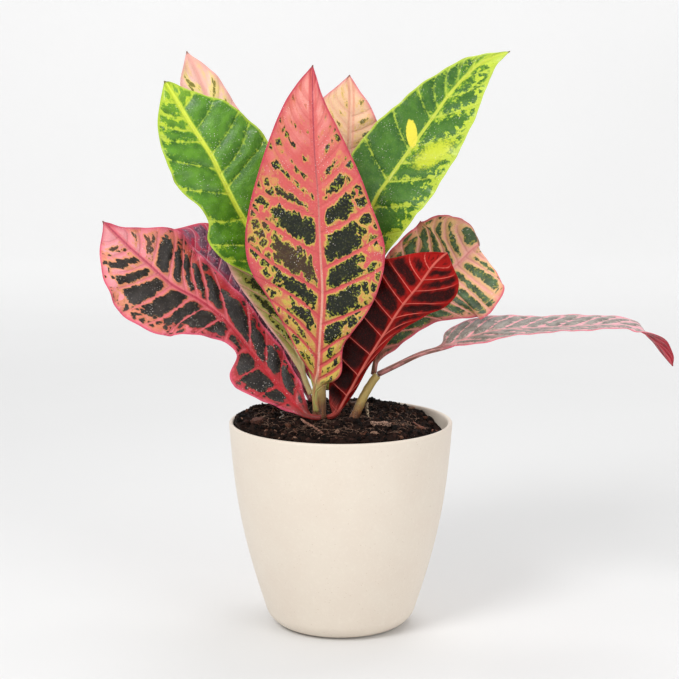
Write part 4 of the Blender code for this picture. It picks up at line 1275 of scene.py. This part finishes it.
CAMERA_PLACE = (-0.00068, -1.0, 0.32613)
CAMERA_DROP = 0.1627
CAMERA_LENS = 96.65
CAMERA_SENSOR = 36.0
AIM = (0.0, 0.0, 0.18)
LIGHTS = {"key": ((-0.7, -0.95, 1.15), 0.6), "fill": ((1.0, -1.1, 0.6), 0.9),
          "top": ((0.3, 0.5, 1.2), 0.7)}
SKY_STRENGTH = 0.62
# Glow of the far paper: painted light.
PAPER_PAINTED_GLOW = 0.2
FLOOR_FRONT = -6.0
FLOOR_BACK = 1.7
FLOOR_HALF = 5.0
FLOOR_BEND = 0.4
BACKDROP_HEIGHT = 2.4


def stage_material(settings):
    """Plain paper, painted whiter and glowing a little far from the plant: painted light that
    keeps the far floor bright.
    """
    tree = material_tree("stage_paper")
    place = tree.place()
    cloud = tree.noise(place, 0.004)
    grain = tree.noise(place, 0.6)
    x, y, _ = tree.parts(place)
    y = y + 600.0
    # Far from the plant the paper is painted whiter and made to glow: painted light.
    far = (x * x + y * y).math("SQRT").step(1100.0, 2300.0)
    colour = tree.mix((cloud - 0.5) * 0.2 + far * 0.3, (*settings.floor_colour, 1.0), "ffffff")
    return finish_material(tree, colour, grain * 0.1 + 0.75, grain, 0.05 * MM,
                           {"Emission Strength": PAPER_PAINTED_GLOW,
                            "Emission Color": tree.mix(far, "000000", "ffffff")})


def backdrop_mesh():
    """A floor that bends up into a wall behind the plant."""
    bend = [(FLOOR_BACK + FLOOR_BEND * math.sin(a), FLOOR_BEND * (1 - math.cos(a)))
            for a in np.linspace(0, math.pi / 2, 24)]
    line = [(FLOOR_FRONT, 0.0), (FLOOR_BACK - 0.01, 0.0), *bend, (bend[-1][0], BACKDROP_HEIGHT)]
    points = [(x, y, z) for y, z in line for x in (-FLOOR_HALF, FLOOR_HALF)]
    faces = [(2 * i, 2 * i + 1, 2 * i + 3, 2 * i + 2) for i in range(len(line) - 1)]
    return new_mesh("backdrop", points, faces)


def area_light(name, place, size, power):
    lamp = bpy.data.lights.new(name, "AREA")
    lamp.shape = "DISK"
    lamp.size = size
    lamp.energy = power
    holder = linked(name, lamp)
    holder.location = place
    holder.rotation_euler = (Vector(AIM) - Vector(place)).to_track_quat("-Z", "Y").to_euler()


class CROTON_OT_stage(bpy.types.Operator):
    """Set up the floor, the soft lights and the camera"""

    bl_idname = "croton.stage"
    bl_label = "Stage"

    def execute(self, context):
        settings = context.scene.croton_stage
        mesh = backdrop_mesh()
        mesh.materials.append(stage_material(settings))
        backdrop = linked("backdrop", mesh)
        for name, (place, size) in LIGHTS.items():
            area_light(name, place, size, getattr(settings, name + "_power"))
        world = bpy.data.worlds.new("studio")
        world.use_nodes = True
        background = world.node_tree.nodes["Background"]
        background.inputs["Color"].default_value = (1.0, 1.0, 1.0, 1.0)
        background.inputs["Strength"].default_value = SKY_STRENGTH
        camera = bpy.data.cameras.new("camera")
        camera.lens = CAMERA_LENS
        camera.sensor_width = CAMERA_SENSOR
        holder = linked("camera", camera)
        holder.location = CAMERA_PLACE
        holder.rotation_euler = (math.pi / 2 - CAMERA_DROP, 0.0, 0.0)
        context.scene.world = world
        context.scene.camera = holder
        context.scene.view_settings.view_transform = "Standard"
        return {"FINISHED"}


# ---- panel and main

OPERATORS = (CROTON_OT_stage, CROTON_OT_pot, CROTON_OT_soil, CROTON_OT_stems, CROTON_OT_litter,
             CROTON_OT_leaves)
SETTINGS = {"croton_pot": PotSettings, "croton_soil": SoilSettings, "croton_stems": StemSettings,
            "croton_leaves": LeafSettings, "croton_stage": StageSettings}


class CROTON_PT_panel(bpy.types.Panel):
    """The plant's settings, and a button for each operator"""

    bl_idname = "CROTON_PT_panel"
    bl_label = "Potted croton"
    bl_space_type = "VIEW_3D"
    bl_region_type = "UI"
    bl_category = "Croton"

    def draw(self, context):
        for name, group in SETTINGS.items():
            box = self.layout.box()
            for key in group.__annotations__:
                box.prop(getattr(context.scene, name), key)
        for operator in OPERATORS:
            self.layout.operator(operator.bl_idname)


CLASSES = (*SETTINGS.values(), *OPERATORS, CROTON_PT_panel)


def register():
    for item in CLASSES:
        bpy.utils.register_class(item)
    for name, group in SETTINGS.items():
        setattr(bpy.types.Scene, name, PointerProperty(type=group))


def unregister():
    for name in SETTINGS:
        delattr(bpy.types.Scene, name)
    for item in reversed(CLASSES):
        bpy.utils.unregister_class(item)


def main():
    register()
    bpy.ops.croton.stage()
    bpy.ops.croton.pot()
    bpy.ops.croton.soil()
    bpy.ops.croton.stems()
    bpy.ops.croton.litter()
    bpy.ops.croton.leaves()


if __name__ == "__main__":
    main()
